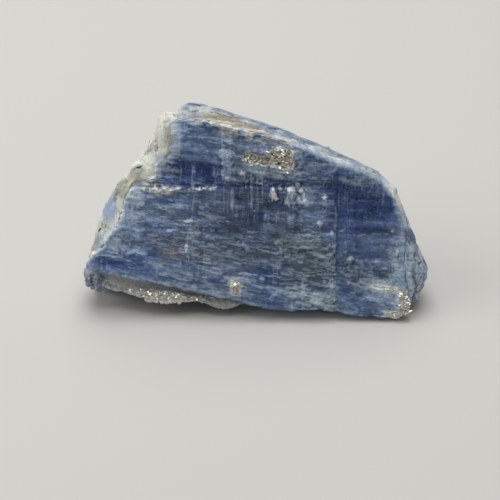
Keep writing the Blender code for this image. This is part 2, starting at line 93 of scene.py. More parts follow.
def hashed(i, j, k, seed):
    # whole numbers scrambled to a value from -1 to 1
    h = (i * 374761393 + j * 668265263 + k * 1274126177 + seed * 362437) & 0xFFFFFFFF
    h = ((h ^ (h >> 13)) * 1103515245) & 0xFFFFFFFF
    h = ((h ^ (h >> 15)) * 668265263) & 0xFFFFFFFF
    return ((h ^ (h >> 16)) & 0xFFFFFF) / 8388607.5 - 1


def noise(x, y, z=0.0, seed=0):
    # the eight corner values round each point, blended by 6t^5 - 15t^4 + 10t^3
    x, y, z = np.broadcast_arrays(x, y, z)
    cell = np.floor(np.stack([x, y, z])).astype(np.int64)
    t = np.stack([x, y, z]) - cell
    t = t * t * t * (t * (t * 6 - 15) + 10)
    total = 0.0
    for i in (0, 1):
        for j in (0, 1):
            for k in (0, 1):
                weight = (t[0] if i else 1 - t[0]) * (t[1] if j else 1 - t[1]) * (t[2] if k else 1 - t[2])
                total = total + weight * hashed(cell[0] + i, cell[1] + j, cell[2] + k, seed)
    return total


def layered(x, y, z=0.0, seed=0, octaves=3, keep=0.55):
    # sum of noise(2^n p) keep^n over the octaves, divided by the sum of the weights
    total, weight, size = 0.0, 0.0, 1.0
    for n in range(octaves):
        total = total + size * noise(x * 2**n, y * 2**n, z * 2**n, seed + 17 * n)
        weight += size
        size *= keep
    return total / weight


def ramp(x, low, high):
    # 0 at low, 1 at high, 3t^2 - 2t^3 between
    t = np.clip((x - low) / (high - low), 0, 1)
    return t * t * (3 - 2 * t)


def bell(x, width):
    # 1 at 0, falling on both sides as exp(-(x / width)^2)
    return np.exp(-((x / width) ** 2))


def heightAt(path, a):
    # height of an outline at a, straight between its points
    return np.interp(a, *np.array(path).T)


def sideAt(path, b):
    # place along the lump of an upright outline at height b
    return np.interp(b, *np.array(path).T[::-1])


def terrace(x, steps, sharp=0.3):
    # stairs: whole part of x steps, plus a short smooth riser in the middle of each step
    t = x * steps
    return (np.floor(t) + ramp(t - np.floor(t), 0.5 - sharp / 2, 0.5 + sharp / 2)) / steps


def cells(u, v, length, height, seed):
    # brickwork of broken cleavage: each cell's own value from -1 to
    # 1, and 0 to 1 from its lower edge to its upper
    v = v / height + 0.5 * layered(u / (2.5 * length), v / (3 * height), seed=seed)
    row = np.floor(v).astype(np.int64)
    u = u / length + 0.5 * hashed(row, 7, 3, seed) + 0.25 * noise(u / length, v, seed=seed + 1)
    column = np.floor(u).astype(np.int64)
    return hashed(row, column, 5, seed), v - row


def linear(*rgb):
    # display colour, 0 to 255, to linear light: ((v + 0.055) / 1.055)^2.4
    v = np.array(rgb) / 255
    return np.where(v < 0.04045, v / 12.92, ((v + 0.055) / 1.055) ** 2.4)


def paint(base, mask, shade):
    # base + mask (shade - base), with the mask held between 0 and 1
    return base + np.clip(mask, 0, 1)[..., None] * (np.asarray(shade) - base)


def coats(tone, *layers):
    # each layer's mask and colour name, painted over the tone in turn
    for mask, key in layers:
        tone = paint(tone, mask, colour[key])
    return tone


def lineDistance(a, b, path):
    # shortest distance from each point to a run of straight segments
    best = np.full(np.shape(a), 1e9)
    for (a0, b0), (a1, b1) in zip(path[:-1], path[1:]):
        along = ((a - a0) * (a1 - a0) + (b - b0) * (b1 - b0)) / ((a1 - a0) ** 2 + (b1 - b0) ** 2)
        along = np.clip(along, 0, 1)
        best = np.minimum(best, np.hypot(a - a0 - along * (a1 - a0), b - b0 - along * (b1 - b0)))
    return best


def insideDistance(a, b, loop):
    # distance to a closed outline, positive inside it, where a ray
    # to one side crosses it an odd number of times
    odd = np.zeros(np.shape(a), bool)
    for (a0, b0), (a1, b1) in zip(loop, loop[1:] + loop[:1]):
        spans = (b0 > b) != (b1 > b)
        odd ^= spans & (a < (a1 - a0) * (b - b0) / (b1 - b0 + 1e-12) + a0)
    return np.where(odd, 1, -1) * lineDistance(a, b, loop + loop[:1])


def alongGrain(a, b):
    # u runs with the grain and v across it; the grain flattens towards the upper right
    flatter = 0.11 * 2 * np.log1p(np.exp((a - 12) / 2)) * ramp(b, 5, 14)
    return a - grainFall * b, b + grainFall * a - flatter


# Meshes

def makePiece(name, points, faces, tone, shine, material, hatch=None, smooth=True):
    # points in the leaning frame and faces as blocks of point
    # numbers, with a colour, polish and hatching per point
    faces = [corners for block in faces for corners in block.tolist()]
    mesh = bpy.data.meshes.new(name)
    mesh.from_pydata(toWorld(points).tolist(), [], faces)
    mesh.polygons.foreach_set("use_smooth", np.full(len(mesh.polygons), smooth))
    rgba = np.concatenate([tone, np.ones((len(tone), 1))], 1)
    colours = mesh.color_attributes.new("tone", "FLOAT_COLOR", "POINT")
    colours.data.foreach_set("color", rgba.astype(np.float32).ravel())
    hatch = np.full(len(points), 0.2) if hatch is None else hatch
    for label, values in (("shine", shine), ("hatch", hatch)):
        mesh.attributes.new(label, "FLOAT", "POINT").data.foreach_set("value", values.astype(np.float32))
    mesh.materials.append(material)
    mesh.update()
    piece = bpy.data.objects.new(name, mesh)
    bpy.context.scene.collection.objects.link(piece)
    print(f"{name}: {len(points)} points, {sum(len(corners) - 2 for corners in faces)} triangles")
    return piece


def gridFaces(rows, columns, wrap=False):
    # quads of a grid whose point (i, j) has number i columns + j; wrap joins the last column to the first
    i, j = np.meshgrid(np.arange(rows - 1), np.arange(columns if wrap else columns - 1), indexing="ij")
    k = (j + 1) % columns
    here, there = i * columns, (i + 1) * columns
    return np.stack([here + j, here + k, there + k, there + j], -1).reshape(-1, 4)


def fanFaces(ring, pole):
    # triangles from a closed ring of point numbers to one pole
    return np.stack([ring, np.full(len(ring), pole), np.roll(ring, -1)], -1)


def gridNormals(p):
    # cross product of the two central differences of a grid closed across, made one long
    return unit(np.cross(np.gradient(p, axis=0), np.roll(p, -1, 1) - np.roll(p, 1, 1)))


def listed(*grids):
    # each grid of points, vectors or values as one plain list
    return [grid.reshape(-1, *grid.shape[2:]) for grid in grids]


def capped(grid):
    # a grid as a list, with a value more for the pole at each end
    return np.concatenate([listed(grid)[0], grid[0, :1], grid[-1, :1]])


surfaces = {}  # grids of points, normals and more that the small parts are set on


def unit(v):
    # each vector divided by its length
    return v / np.maximum(np.linalg.norm(v, axis=-1, keepdims=True), 1e-9)


def shards(rng, centre, axis, normal, length, width, depth, sides=6, cut=0.5, end=0.7):
    # short prisms: two uneven rings of corners round each axis, their ends cut aslant and a little narrower
    side = unit(np.cross(normal, unit(axis)))
    axis = unit(axis)
    normal = np.cross(axis, side)
    turn = 2 * math.pi * (np.arange(sides) + rng.uniform(-0.3, 0.3, (len(centre), sides))) / sides
    reach = 0.5 * rng.uniform(0.75, 1.1, (len(centre), sides))
    x, y = width[:, None] * reach * np.cos(turn), depth[:, None] * reach * np.sin(turn)
    rings = []
    for t in (-0.5, 0.5):
        slope = rng.uniform(-cut, cut, (2, len(centre), 1))
        along = t * length[:, None] + slope[0] * x + slope[1] * y
        narrow = rng.uniform(end, 1.0, (len(centre), 1))
        rings.append(centre[:, None] + along[..., None] * axis[:, None]
                     + (narrow * x)[..., None] * side[:, None] + (narrow * y)[..., None] * normal[:, None])
    k, first = np.arange(sides), 2 * sides * np.arange(len(centre))[:, None, None]
    walls = np.stack([k, (k + 1) % sides, sides + (k + 1) % sides, sides + k], -1)
    caps = np.stack([k[::-1], sides + k])
    return (np.stack(rings, 1).reshape(-1, 3),
            [(first + walls).reshape(-1, 4), (first + caps).reshape(-1, sides)])


def scatter(rng, mask, count):
    # numbers of points picked by chance where the mask, 0 to 1, is high
    return rng.choice(np.flatnonzero(mask.ravel() > rng.random(mask.size)), count)


# metres past the solid's box, and kept free for a shard's thickness
shardLimit = dict(past=0.0004, spare=0.0003)


def makeShards(rng, name, place, axis, normal, size, tone, shine, material, sink=0.2, **shape):
    # size is length, width and depth; each is sunk by a share of its
    # depth, and any reaching past the sides of the solid's box is left out
    centre = place - sink * size[:, 2:] * normal
    low, high = np.array(cadBox[0]) - shardLimit["past"], np.array(cadBox[1]) + shardLimit["past"]
    reach = 0.5 * size[:, :1] * np.abs(toWorld(unit(axis)) - toWorld(np.zeros(3))) + shardLimit["spare"]
    inside = ((toWorld(centre) - reach > low) & (toWorld(centre) + reach < high))[:, :2].all(1)
    centre, axis, normal, size, tone = (values[inside] for values in (centre, axis, normal, size, tone))
    points, faces = shards(rng, centre, axis, normal, *size.T, **shape)
    tone = np.repeat(tone * np.exp(rng.normal(0, 0.14, (len(centre), 1))), len(points) // len(centre), 0)
    tone = tone * rng.uniform(0.9, 1.1, (len(points), 1))
    return makePiece(name, overFloor(points), faces, tone, np.full(len(points), shine), material,
                     smooth=False)


def shades(rng, count, *keys):
    # one of the named colours for each, picked by chance
    return np.stack([colour[key] for key in keys])[rng.integers(0, len(keys), count)]


# Materials

def stoneMaterial(name, finish):
    # colour = point colour x (1 + streaks with the grain + hatching
    # across it + grit), then thin pale lines over it;
    # roughness falls with the polish of the point, and the same streaks give the bump
    material = bpy.data.materials.new(name)
    material.use_nodes = True
    nodes, links = material.node_tree.nodes, material.node_tree.links

    def fill(node, inputs):
        # each input takes a number or colour, or a link from another node's output
        for socket, value in inputs.items():
            if isinstance(value, bpy.types.NodeSocket):
                links.new(value, node.inputs[socket])
            else:
                node.inputs[socket].default_value = value

    def add(kind, inputs={}, **settings):
        # a new node of the kind, with its settings and inputs; returns its outputs
        node = nodes.new("ShaderNode" + kind)
        for key, value in settings.items():
            setattr(node, key, value)
        fill(node, inputs)
        return node.outputs

    def maths(operation, *values):
        # one operation on the values, in order
        return add("Math", dict(enumerate(values)), operation=operation)[0]

    def grain(size, detail):
        # noise from -0.5 to 0.5 whose features measure size mm along the grain, across it and into the stone
        scale = [millimetre * v for v in size]
        turned = add("Mapping", {"Vector": place, "Rotation": grainTurn, "Scale": scale},
                     vector_type="TEXTURE")
        texture = {"Vector": turned[0], "Scale": 1.0, "Detail": detail, "Roughness": 0.6, "Distortion": 0.3}
        return maths("SUBTRACT", add("TexNoise", texture)["Fac"], 0.5)

    place = add("TexCoord")["Object"]
    tone, shine, hatch = (add("Attribute", attribute_name=label) for label in ("tone", "shine", "hatch"))
    streaks, strands = grain(finish["streak"], 4.0), grain(finish["strand"], 2.0)
    across, grit = grain(finish["across"], 2.0), grain(finish["grit"], 2.0)
    hatching = maths("MULTIPLY", across, hatch["Fac"])
    change = 1.0
    for part, key in ((streaks, "streakMix"), (strands, "strandMix"), (hatching, "acrossMix"),
                      (grit, "gritMix")):
        change = maths("MULTIPLY_ADD", part, finish[key], change)
    change = maths("MAXIMUM", change, 0.25)
    tinted = add("VectorMath", {"Vector": tone["Color"], "Scale": change}, operation="SCALE")
    lines = add("MapRange", {
        "Value": maths("MULTIPLY_ADD", hatching, 0.8, strands), "From Min": finish["lineFrom"],
        "From Max": finish["lineFrom"] + 0.08, "To Max": finish["lineMix"]})
    lined = {"Factor": lines["Result"], "A": tinted["Vector"], "B": (*finish["line"], 1)}
    polish = maths("MULTIPLY_ADD", shine["Fac"], -finish["polish"], finish["roughness"])
    fill(nodes["Principled BSDF"], {
        **finish["shader"],
        "Base Color": add("Mix", lined, data_type="RGBA")["Result"],
        "Roughness": maths("MULTIPLY_ADD", streaks, 0.35, polish),
        "Normal": add("Bump", {"Strength": finish["bump"], "Distance": 0.00015, "Height": change})["Normal"]})
    return material


# from the leaning frame's axes to the world's, then down with the grain
grainTurn = (Matrix.Rotation(math.radians(90 - lean["degrees"]), 3, "X")
             @ Matrix.Rotation(math.radians(-9), 3, "Z")).to_euler()
bladeFinish = dict(
    streak=(2.6, 0.4, 1.0), strand=(1.3, 0.2, 0.7), across=(0.28, 2.4, 0.6), grit=(0.25, 0.2, 0.25),
    streakMix=0.6, strandMix=0.6, acrossMix=0.9, gritMix=1.1, line=(0.40, 0.46, 0.55), lineFrom=0.16,
    lineMix=0.55, roughness=0.60, polish=0.40, bump=0.6, shader={"Specular IOR Level": 0.25},
)
crustFinish = dict(
    bladeFinish, streak=(1.2, 0.8, 0.8), strand=(0.5, 0.3, 0.4), across=(0.2, 0.6, 0.4), streakMix=0.5,
    strandMix=0.3, acrossMix=0.3, gritMix=0.4, line=(0.75, 0.76, 0.72), lineMix=0.3, roughness=0.75, bump=0.5,
    shader={"Specular IOR Level": 0.35, "Subsurface Weight": 0.25, "Subsurface Radius": (1.0, 1.0, 0.9),
            "Subsurface Scale": 0.002},
)
micaFinish = dict(
    bladeFinish, streak=(0.6, 0.3, 0.3), strand=(0.3, 0.2, 0.2), across=(0.2, 0.3, 0.3), streakMix=0.6,
    strandMix=0.4, acrossMix=0.3, gritMix=0.5, line=(0.8, 0.79, 0.74), lineMix=0.4, roughness=0.42,
    polish=0.3, bump=0.5, shader={"Specular IOR Level": 0.7, "Metallic": 0.25},
)
flakeFinish = dict(
    micaFinish, streakMix=0.3, strandMix=0.2, gritMix=0.3, bump=0.2,
    shader={"Specular IOR Level": 0.7, "Metallic": 0.5},
)
bladeStone, crustStone = stoneMaterial("blade stone", bladeFinish), stoneMaterial("crust stone", crustFinish)
micaStone, flakeStone = stoneMaterial("mica", micaFinish), stoneMaterial("mica flakes", flakeFinish)

# Colours of the stone as they look in plain light
colour = {key: linear(*rgb) for key, rgb in dict(
    deep=(48, 70, 122), navy=(40, 56, 91), blue=(84, 102, 135), slate=(106, 121, 143), steel=(88, 106, 136),
    stormy=(72, 82, 106), dusky=(138, 146, 170), violet=(104, 112, 150), strand=(126, 144, 172),
    facet=(162, 180, 204), ice=(176, 190, 206), pale=(168, 180, 194), frost=(222, 225, 224),
    white=(226, 228, 224), crust=(230, 231, 222), cream=(212, 210, 196), silver=(222, 219, 208),
    groove=(204, 202, 194), mint=(176, 190, 184), moss=(160, 165, 152), olive=(102, 110, 110),
    # the under colour is painted shade, used for the shelf's underside
    grey=(100, 108, 121), shade=(104, 104, 100), under=(70, 76, 92), brown=(120, 115, 114),
    tan=(176, 164, 138), umber=(104, 92, 72),
).items()}
colour.update(clay=0.8 * colour["tan"], glow=1.35 * colour["ice"])
darkest = 0.004  # no colour is darker than this

# The broad face

broadFace = dict(
    columns=380, rows=222, tint=np.array([1.29, 1.37, 1.48]), whiteOver=28, middle=(-2.0, 20.0),
    # rings of the edge, each so far out and so far back
    side=[(0.12, 0.3), (0.3, 0.9), (0.2, 1.7), (0.35, 2.6), (0.1, 3.5), (-0.5, 4.2)],
    bottom=[(-40.2, 12.5), (-30.4, 10.0), (-23.3, 8.8), (-15.9, 7.05), (-4.75, 4.6), (2.1, 2.9), (8.8, 2.2),
            (15.9, 2.7), (23.3, 1.0), (30, 0.5), (34.5, 0.4)],
    right=[(34.5, 0.4), (36.8, 2.2), (37.2, 5.4), (36.2, 8.6), (35.7, 14.0), (35.4, 21.0), (34.4, 25.5),
           (33.0, 29.0)],
    top=[(-19.8, 47.0), (-18.0, 48.0), (-12.6, 47.9), (-4.75, 46.0), (0.95, 44.6), (6.4, 43.0),
         (10.7, 41.6), (13.3, 40.7), (16.1, 39.2), (18.8, 37.9), (21.6, 37.2), (24.5, 36.1), (27.3, 34.8),
         (29.5, 33.4), (31.4, 31.0), (33.0, 29.0)],
    left=[(-40.2, 12.5), (-39.4, 14.9), (-38.2, 16.3), (-36.1, 17.8), (-34.7, 20.5), (-32.8, 22.2),
          (-31.4, 25.6), (-31.1, 28.0), (-29.6, 31.2), (-28.8, 33.1), (-25.0, 33.8), (-23.5, 34.7),
          (-23.4, 37.2), (-21.6, 38.8), (-20.0, 40.2), (-19.8, 43.5), (-19.8, 47.0)],
    # middle a, b, half length, half height, strength
    deep=[(-13, 36.3, 5, 1.9, 1), (-12.4, 37.5, 4, .5, 1), (-20, 37.7, 1.2, 1, 1),
          (-15.5, 39.7, 1.9, 1.2, .7), (-21.2, 35.1, 2.1, 1.2, .7), (-2.4, 42.1, 3.3, 1.4, .3),
          (1.7, 43.3, 3.3, 1, .3), (5.9, 42.4, 2.9, .7, .3), (-2.4, 35.8, 2.9, 1.2, .9),
          (1.7, 32.6, 5.2, 1.7, 1), (8.8, 32.1, 3.3, 1.9, .8), (-4.5, 32.6, 2.4, 1.4, .6),
          (-1, 25.6, 2.4, 3.1, 1), (-5.5, 29.2, 2.1, 1.4, .5), (6.7, 28, 2.4, 1.4, .6),
          (21.4, 31.7, 5.2, 3.3, .9), (28.5, 28, 4.8, 3.8, .8), (22.6, 25.6, 4.3, 2.9, .75),
          (27.5, 21.5, 5.0, 1.8, .9), (21.4, 18.8, 2.9, 1.9, .7), (26.1, 15.1, 3.8, 2.1, .6),
          (-21.2, 29.2, 2.1, 1.2, .8), (-22.1, 21.9, 5, 1.4, .8), (-18.3, 21.2, 2.1, 1, .8),
          (-24.2, 16.8, 2.1, 1.2, 1), (-30.9, 15.6, 3.3, 1.2, .5), (-34.5, 14.4, 3.8, 1.4, .7),
          (-27.3, 12.2, 3.8, 1.4, .5), (-11.9, 19.5, 3.3, .7, .5), (-9.5, 21.9, 2.9, .7, .5),
          (1.7, 11.7, 5.2, 1.4, .8), (5.9, 10.5, 3.3, 1.2, .7), (1.7, 5.7, 4.8, 1.9, .45),
          (-9.5, 9.3, 1.9, 1.4, .5), (24.2, 4.4, 5.2, 2.9, .4), (23.1, 7.8, 3.8, 1.4, .6),
          (26.1, 36, 2.4, 1, .5), (10.7, 37.7, 1.2, 2.1, .6), (15.5, 39, 2.9, 1.2, .4),
          (31.1, 32.6, 1.9, 1.2, .6)],
    slate=[(-11.4, 42.0, 4.2, 2.6, 1), (-24.5, 20, 5, 3.4, .7), (-27, 24.5, 3, 2.5, .6),
           (-7.1, 28, 4.8, 3.3, .6), (-10.7, 24.4, 3.8, 2.4, .5), (-4.8, 15.9, 7.1, 3.3, .3),
           (-20.2, 26.3, 5.2, 1.9, .7), (13.1, 36.5, 3.3, 1.7, .5), (-24.5, 30.4, 2.4, 1.9, .6),
           (2.4, 20.7, 2.9, 1.4, .5), (-14.3, 15.9, 3.3, 2.4, .6), (23.8, 11, 4.8, 1.9, .5),
           (30.9, 11.7, 2.4, 2.9, .6)],
    olive=[(13.5, 17.1, 4.3, 3.3, .9), (8.3, 19.5, 2.9, 1.9, .7), (10.7, 12.2, 2.9, 2.4, .7),
           (15.9, 11.7, 2.4, 3.8, .7), (2.4, 16.6, 3.3, 1.9, .4), (13.1, 6.1, 4.8, 1.9, .7),
           (15.9, 19.5, 1.9, 1.9, .5), (7.1, 14.6, 2.4, 1.9, .5), (10.7, 22.4, 3.3, 1.4, .35),
           (-9.5, 14.2, 2.9, 1.4, .4)],
    brown=[(-20, 16.8, 2.4, 2.1, .8), (-13.1, 16.6, 3.3, 1.9, .45), (-16.4, 19.5, 2.4, 1.9, .4),
           (-7.8, 19.5, 2.9, 1.2, .3), (-12.4, 13.9, 2.1, 1.2, .5), (-9.3, 25.6, 2.4, 1.4, .25),
           (-17.8, 40.7, .6, 1.9, .7)],
    pale=[(-15.9, 47.5, 2.4, .7, .7), (9.4, 38.6, 1.5, 4.0, .8), (5.5, 41.9, 3.4, .6, .6),
          (-18.6, 44.0, 1.4, 3.0, .9), (-20.6, 35.6, 1.6, 1.8, .4), (22.5, 34.4, 3.6, 1.7, .8),
          (-6.7, 40.2, 1.3, 5.7, .8), (-21.4, 27, 3.3, 1.2, .35), (-32.6, 19.5, 1.2, 2.4, .5),
          (-28.8, 26.1, 1.9, 6.2, .6), (-29.4, 31.0, 2.2, 2.2, 1), (3.5, 36.0, 6.5, .9, .7),
          (13.5, 6.0, 4, 1.2, .6), (-15.9, 10.8, 2.6, 1, .6), (11.9, 29.2, 1.4, 1.9, .65),
          (8.6, 30.4, 1.2, 1.9, .6), (10.5, 35.8, 1.7, 1.4, .5), (22.6, 35.1, 1.9, 1.9, .3),
          (32.1, 7.4, 3.3, 1.4, .4), (34.9, 14.2, 1.4, 4.3, .45), (33.3, 19.5, 1.2, 2.9, .25),
          (12.1, 3.5, 4.3, 1, .5), (18.5, 6.9, 1.2, 1.7, .7), (-22.6, 13.7, 2.4, .6, .6),
          (0, 14.2, 3.3, .7, .4), (5.9, 14.4, 2.1, .5, .5), (4.3, 6.6, 1, .6, .8), (-7.1, 4.9, 2.9, .6, .5),
          (-2.6, 10.0, 2.0, .8, .5), (30.9, 8.8, 3.8, .9, .8), (34, 3.7, 3.2, 2.8, .8),
          (29, 5.5, 5, 1.6, .5), (6.7, 36.5, 3.3, .7, .5)],
    spots=[(4.3, 30.7, .7, 1.4, 1), (4.8, 29.5, .7, .5, 1), (8.8, 31.0, .9, 1.3, .6),
           (7.4, 29.0, .6, .8, .6), (10.2, 29.4, .8, .9, .5), (5.6, 32.0, .6, .5, .5),
           (8.1, 31.6, .5, .7, .7), (7.8, 28.4, .5, .6, .6), (10.8, 31.2, .4, .6, .7),
           (11.7, 29.0, .7, .6, .7), (10.0, 32.5, .4, .7, .5), (12.2, 27.9, .8, .6, .4),
           (11.4, 30.2, .5, 1, .7), (16.4, 29.7, .6, .6, 1), (15.2, 23.6, .5, .7, 1),
           (18.1, 21.2, .5, .5, .7), (-15.9, 24.1, 1, .4, 1), (-16.2, 17.8, .4, 1, 1),
           (32.6, 21.5, .4, .4, .8), (33.8, 16.3, .4, 1, .9), (-11.2, 40.7, .2, .2, .9),
           (29, 14.2, .7, .5, .4), (22.8, 14.9, .7, .5, .6), (-3.3, 35.5, .7, .5, .7), (5.5, 19, 1, .5, .5),
           (6.7, 17.1, 1.2, .5, .4), (-1, 45.8, .5, .3, .9), (22.3, 9.1, .4, .5, .7)],
    # from a, b to a, b, half width, strength
    cracks=[(-14.6, 37, -14.6, 30.2, .16, 1), (-14.2, 36.5, -14.7, 26.1, .12, .7),
            (-14.7, 26.1, -16.2, 19.5, .13, .8), (-16.2, 19.5, -15.6, 12.9, .15, .8),
            (-9.4, 37, -9.4, 28.3, .12, .5), (-19.5, 36.5, -19.5, 33.4, .15, .7),
            (-1, 35.1, -1, 26.6, .13, .9), (.5, 35.1, .2, 26.6, .12, .7), (-.2, 26.6, -.2, 21.7, .13, .7),
            (10.9, 44.3, 10.9, 36.0, .22, 1), (-7.7, 46.2, -7.7, 34.6, .2, .8), (19, 27.3, 19, 4.2, .22, 1),
            (18.5, 20.5, 18.5, 9.5, .12, .6), (11.3, 10.8, 11.2, 4, .13, .8),
            (-23.5, 13.4, -23.5, 10.5, .15, .7), (21.4, 34.1, 21.4, 23.2, .11, .35),
            (22.8, 32.6, 22.8, 21.5, .11, .35), (1.7, 39, 1.7, 30.4, .11, .5),
            (-19.8, 46.7, -19.8, 39, .15, .5), (17.8, 40.2, 17.8, 34.1, .12, .4),
            (-29, 32.6, -29, 20.5, .13, .5), (-27.8, 31.7, -27.8, 20.5, .12, .4),
            (-30, 31.2, -30.2, 21.5, .13, .4)],
    # a path, half width, strength
    streaks=[([(-39, 15.4), (-36.8, 16.1), (-31.6, 15.4)], .2, .9),
             ([(-27.1, 14.4), (-24.5, 14.2), (-22.1, 13.2)], .25, .9),
             ([(-2.9, 21.2), (-1.2, 21.6), (.7, 21.2), (2.6, 20)], .2, .7),
             ([(23.5, 20.5), (27.3, 20.8), (31.6, 20.7)], .14, .8),
             ([(-17.6, 38.5), (-14.7, 38.5)], .18, .7), ([(-13.3, 43.9), (-7.8, 43.6)], .15, .5),
             ([(-23.3, 36.5), (-21.2, 36.6), (-18.8, 36.3)], .16, .7),
             ([(-3.6, 10.5), (1.7, 9.5), (9.3, 8.6), (16.6, 5.9)], .25, .6),
             ([(0, 9.1), (7.1, 6.9), (15.9, 4.2)], .25, .5),
             ([(10.5, 11.2), (11.4, 9.8), (11.4, 7.4)], .2, .6),
             ([(26.6, 8.8), (29.7, 7.8), (34, 6.9)], .25, .6),
             ([(21.4, 9.8), (24, 8.6), (29.2, 7.1)], .18, .5),
             ([(-39.5, 12.9), (-30.4, 10.6), (-23.3, 9.4), (-15.9, 7.7), (-4.8, 5.2), (2.1, 3.4)], .25, .7)],
    ledge=[[(-33.3, 33.1), (-31.1, 33.8), (-28.8, 33.8), (-26.1, 32.9), (-23.3, 31.7), (-20, 31.4),
           (-17.4, 31.7), (-13.1, 31.7), (-9.3, 32.1)],
           [(-7.8, 34.6), (-5.5, 34.3), (-2.4, 33.8), (0, 33.1), (3, 32.6)]],
    ledgeWide=[([-34, -28, -24, -20, -17, -9], [1.1, 1.1, 1.6, 1.3, 0.35, 0.3]), ([-8, 3], [0.1, 0.1])],
    pockets=[(-.7, 38.7, 2.3, 1.3), (5.7, 39.0, 3.4, 2.5), (7.0, 37.4, 2.2, 1.7), (2.4, 38.3, 1.6, 1.0)],
    # fine pale dashes, hatching up the face, loose specks and crumpled mica, as middle, half sizes, strength
    dashes=[(-19, 24, 10, 4, 1), (-5, 16, 14, 5, .8), (14, 15, 6, 6, 1), (3, 10, 12, 4, .7),
            (27, 9, 8, 3, .6), (-31, 16.5, 5, 2, .6), (13, 31, 5, 4, .4)],
    hatches=[(-29.5, 25.5, 2.2, 6.5, 1), (-35.5, 14.5, 2.2, 1.8, 1), (-10.5, 34, 9.5, 2.8, .8),
             (0, 29.5, 8, 5.5, .9), (24, 30, 9, 6, .5), (20.5, 24, 4, 7, .5), (34.5, 13, 1.8, 6, .7),
             (4, 14, 3, 5, .5), (-14, 14, 3, 6, .4)],
    frosted=[(14, 4.6, 6.5, 2.0, 1), (17.8, 6.5, 1.2, 2, .8), (30, 8.6, 6, 2, .8), (34, 13, 2, 6, .6),
             (29.5, 33, 3, 2, .5), (3, 35.8, 8, 1.0, .45), (-29, 31, 2.4, 2.2, 1), (-24, 42, 3, 3, .6),
             (-33.5, 20, 2, 4, .5), (-10, 7.4, 6, 1.0, .6), (10, 19, 4, 3, .3), (-20.8, 42, 1.4, 4.5, .8)],
    specks=[(9.5, 30.4, 3.4, 2.6, 1), (-20.8, 40.6, 1.3, 5, .8), (-1.2, 34.3, 5.5, 1.0, .7),
            (34.3, 14, 1.6, 5, .6), (17.7, 13, 1.3, 6, .8), (-31, 17.5, 5, 1.6, .5), (-13, 21, 3, 2.4, .5),
            (24, 13, 4, 2.4, .4), (4, 39, 6, 4, .5)],
    mica=[(-4.8, 8.0, 1.3, 1.9, 1), (31.0, 7.6, 3.6, .9, .5), (35.6, 5.6, 1.6, 1.8, .9),
          (35.6, 2.8, 1.5, 2.0, .9), (33.6, 1.0, 2.4, .9, .9), (-4.4, 7.4, .9, 1.4, 1)],
    dusk=[(-1, 20.5, 13, 8, .7), (-1.2, 15.8, 5.5, 3.2, 1), (23, 30, 8, 6, .9), (2, 29.5, 8, 4.5, .9),
          (12, 15, 7, 5, .8), (-15, 37, 6, 3, .7), (12, 29, 6, 3, .7), (-9, 27, 8, 4, .5),
          (0, 24, 7, 4, .6), (-2, 17, 8, 4, .5), (27, 23, 5, 5, .5), (22.5, 12.5, 5, 2.6, .8),
          (14, 10, 4, 2, .7), (5, 17, 5, 3, .4)],
    calm=[(27, 24, 8.5, 10, 1), (-11.5, 41.9, 4.8, 3.2, 1.2), (23, 6, 5, 3, .5), (-30, 13, 5, 2, .5)],
    # cleavage blocks with crisp sides: outline, colour, strength, height, calmness
    blocks=[([(-17.1, 44.4), (-7.8, 43.4), (-7.8, 37.2), (-17.1, 38.4)], "steel", .9, .12, .8),
            ([(-17.6, 38.2), (-7.8, 36.9), (-7.8, 31.6), (-17.6, 31.4)], "deep", .8, -.10, .5),
            ([(-23.1, 38.3), (-17.9, 39.0), (-17.9, 32.2), (-22.2, 32.4)], "deep", .6, .0, .3),
            ([(-7.8, 46.2), (-5.2, 45.7), (-5.2, 33.6), (-7.8, 33.7)], "grey", .5, .10, .5),
            ([(-5.2, 43.6), (10.7, 41.4), (10.7, 34.2), (-5.2, 33.8)], "grey", .7, .05, .5),
            ([(-7.8, 33.4), (1.9, 32.6), (1.9, 21.6), (-7.8, 22.4)], "stormy", .5, .0, .5),
            ([(1.9, 33.8), (10.9, 34.0), (12.0, 31.4), (6.0, 31.6), (1.9, 32.0)], "navy", .6, -.10, .3),
            ([(19.3, 37.6), (33.4, 31.0), (34.6, 21.4), (19.3, 21.4)], "deep", .35, .0, .8),
            ([(19.3, 21.2), (34.8, 21.2), (34.4, 14.2), (19.3, 13.8)], "steel", .5, -.08, .9),
            ([(20.0, 12.6), (31.5, 12.0), (32.0, 9.6), (20.0, 9.4)], "stormy", .5, .05, .4),
            ([(-31.6, 30.8), (-27.0, 31.6), (-27.6, 20.5), (-33.8, 20.5)], "strand", .5, .0, .95),
            ([(-19.6, 46.4), (-17.3, 46.4), (-17.3, 39.6), (-19.6, 39.8)], "pale", .5, .0, .6)],
    # dark lines: path, half width, strength
    seams=[([(-17.1, 38.4), (-12.4, 38.1), (-7.8, 37.1)], .16, .8),
           ([(-5.2, 43.0), (2.0, 42.4), (10.7, 40.8)], .18, .6),
           ([(-7.8, 33.5), (-3.0, 33.2), (1.7, 31.9)], .18, .6), ([(-7.8, 31.2), (-7.9, 22.4)], .12, .5),
           ([(19.3, 36.4), (19.3, 12.0)], .16, .5), ([(-22.8, 35.4), (-20.6, 35.6), (-17.9, 35.0)], .2, .7),
           ([(-17.2, 44.2), (-17.4, 38.6)], .13, .5)],
)


def boundaryAt(path, n):
    # n points at even steps of length along a path
    path = np.array(path, float)
    length = np.concatenate([[0], np.cumsum(np.linalg.norm(np.diff(path, axis=0), axis=1))])
    even = np.linspace(0, length[-1], n)
    return np.stack([np.interp(even, length, path[:, 0]), np.interp(even, length, path[:, 1])], -1)


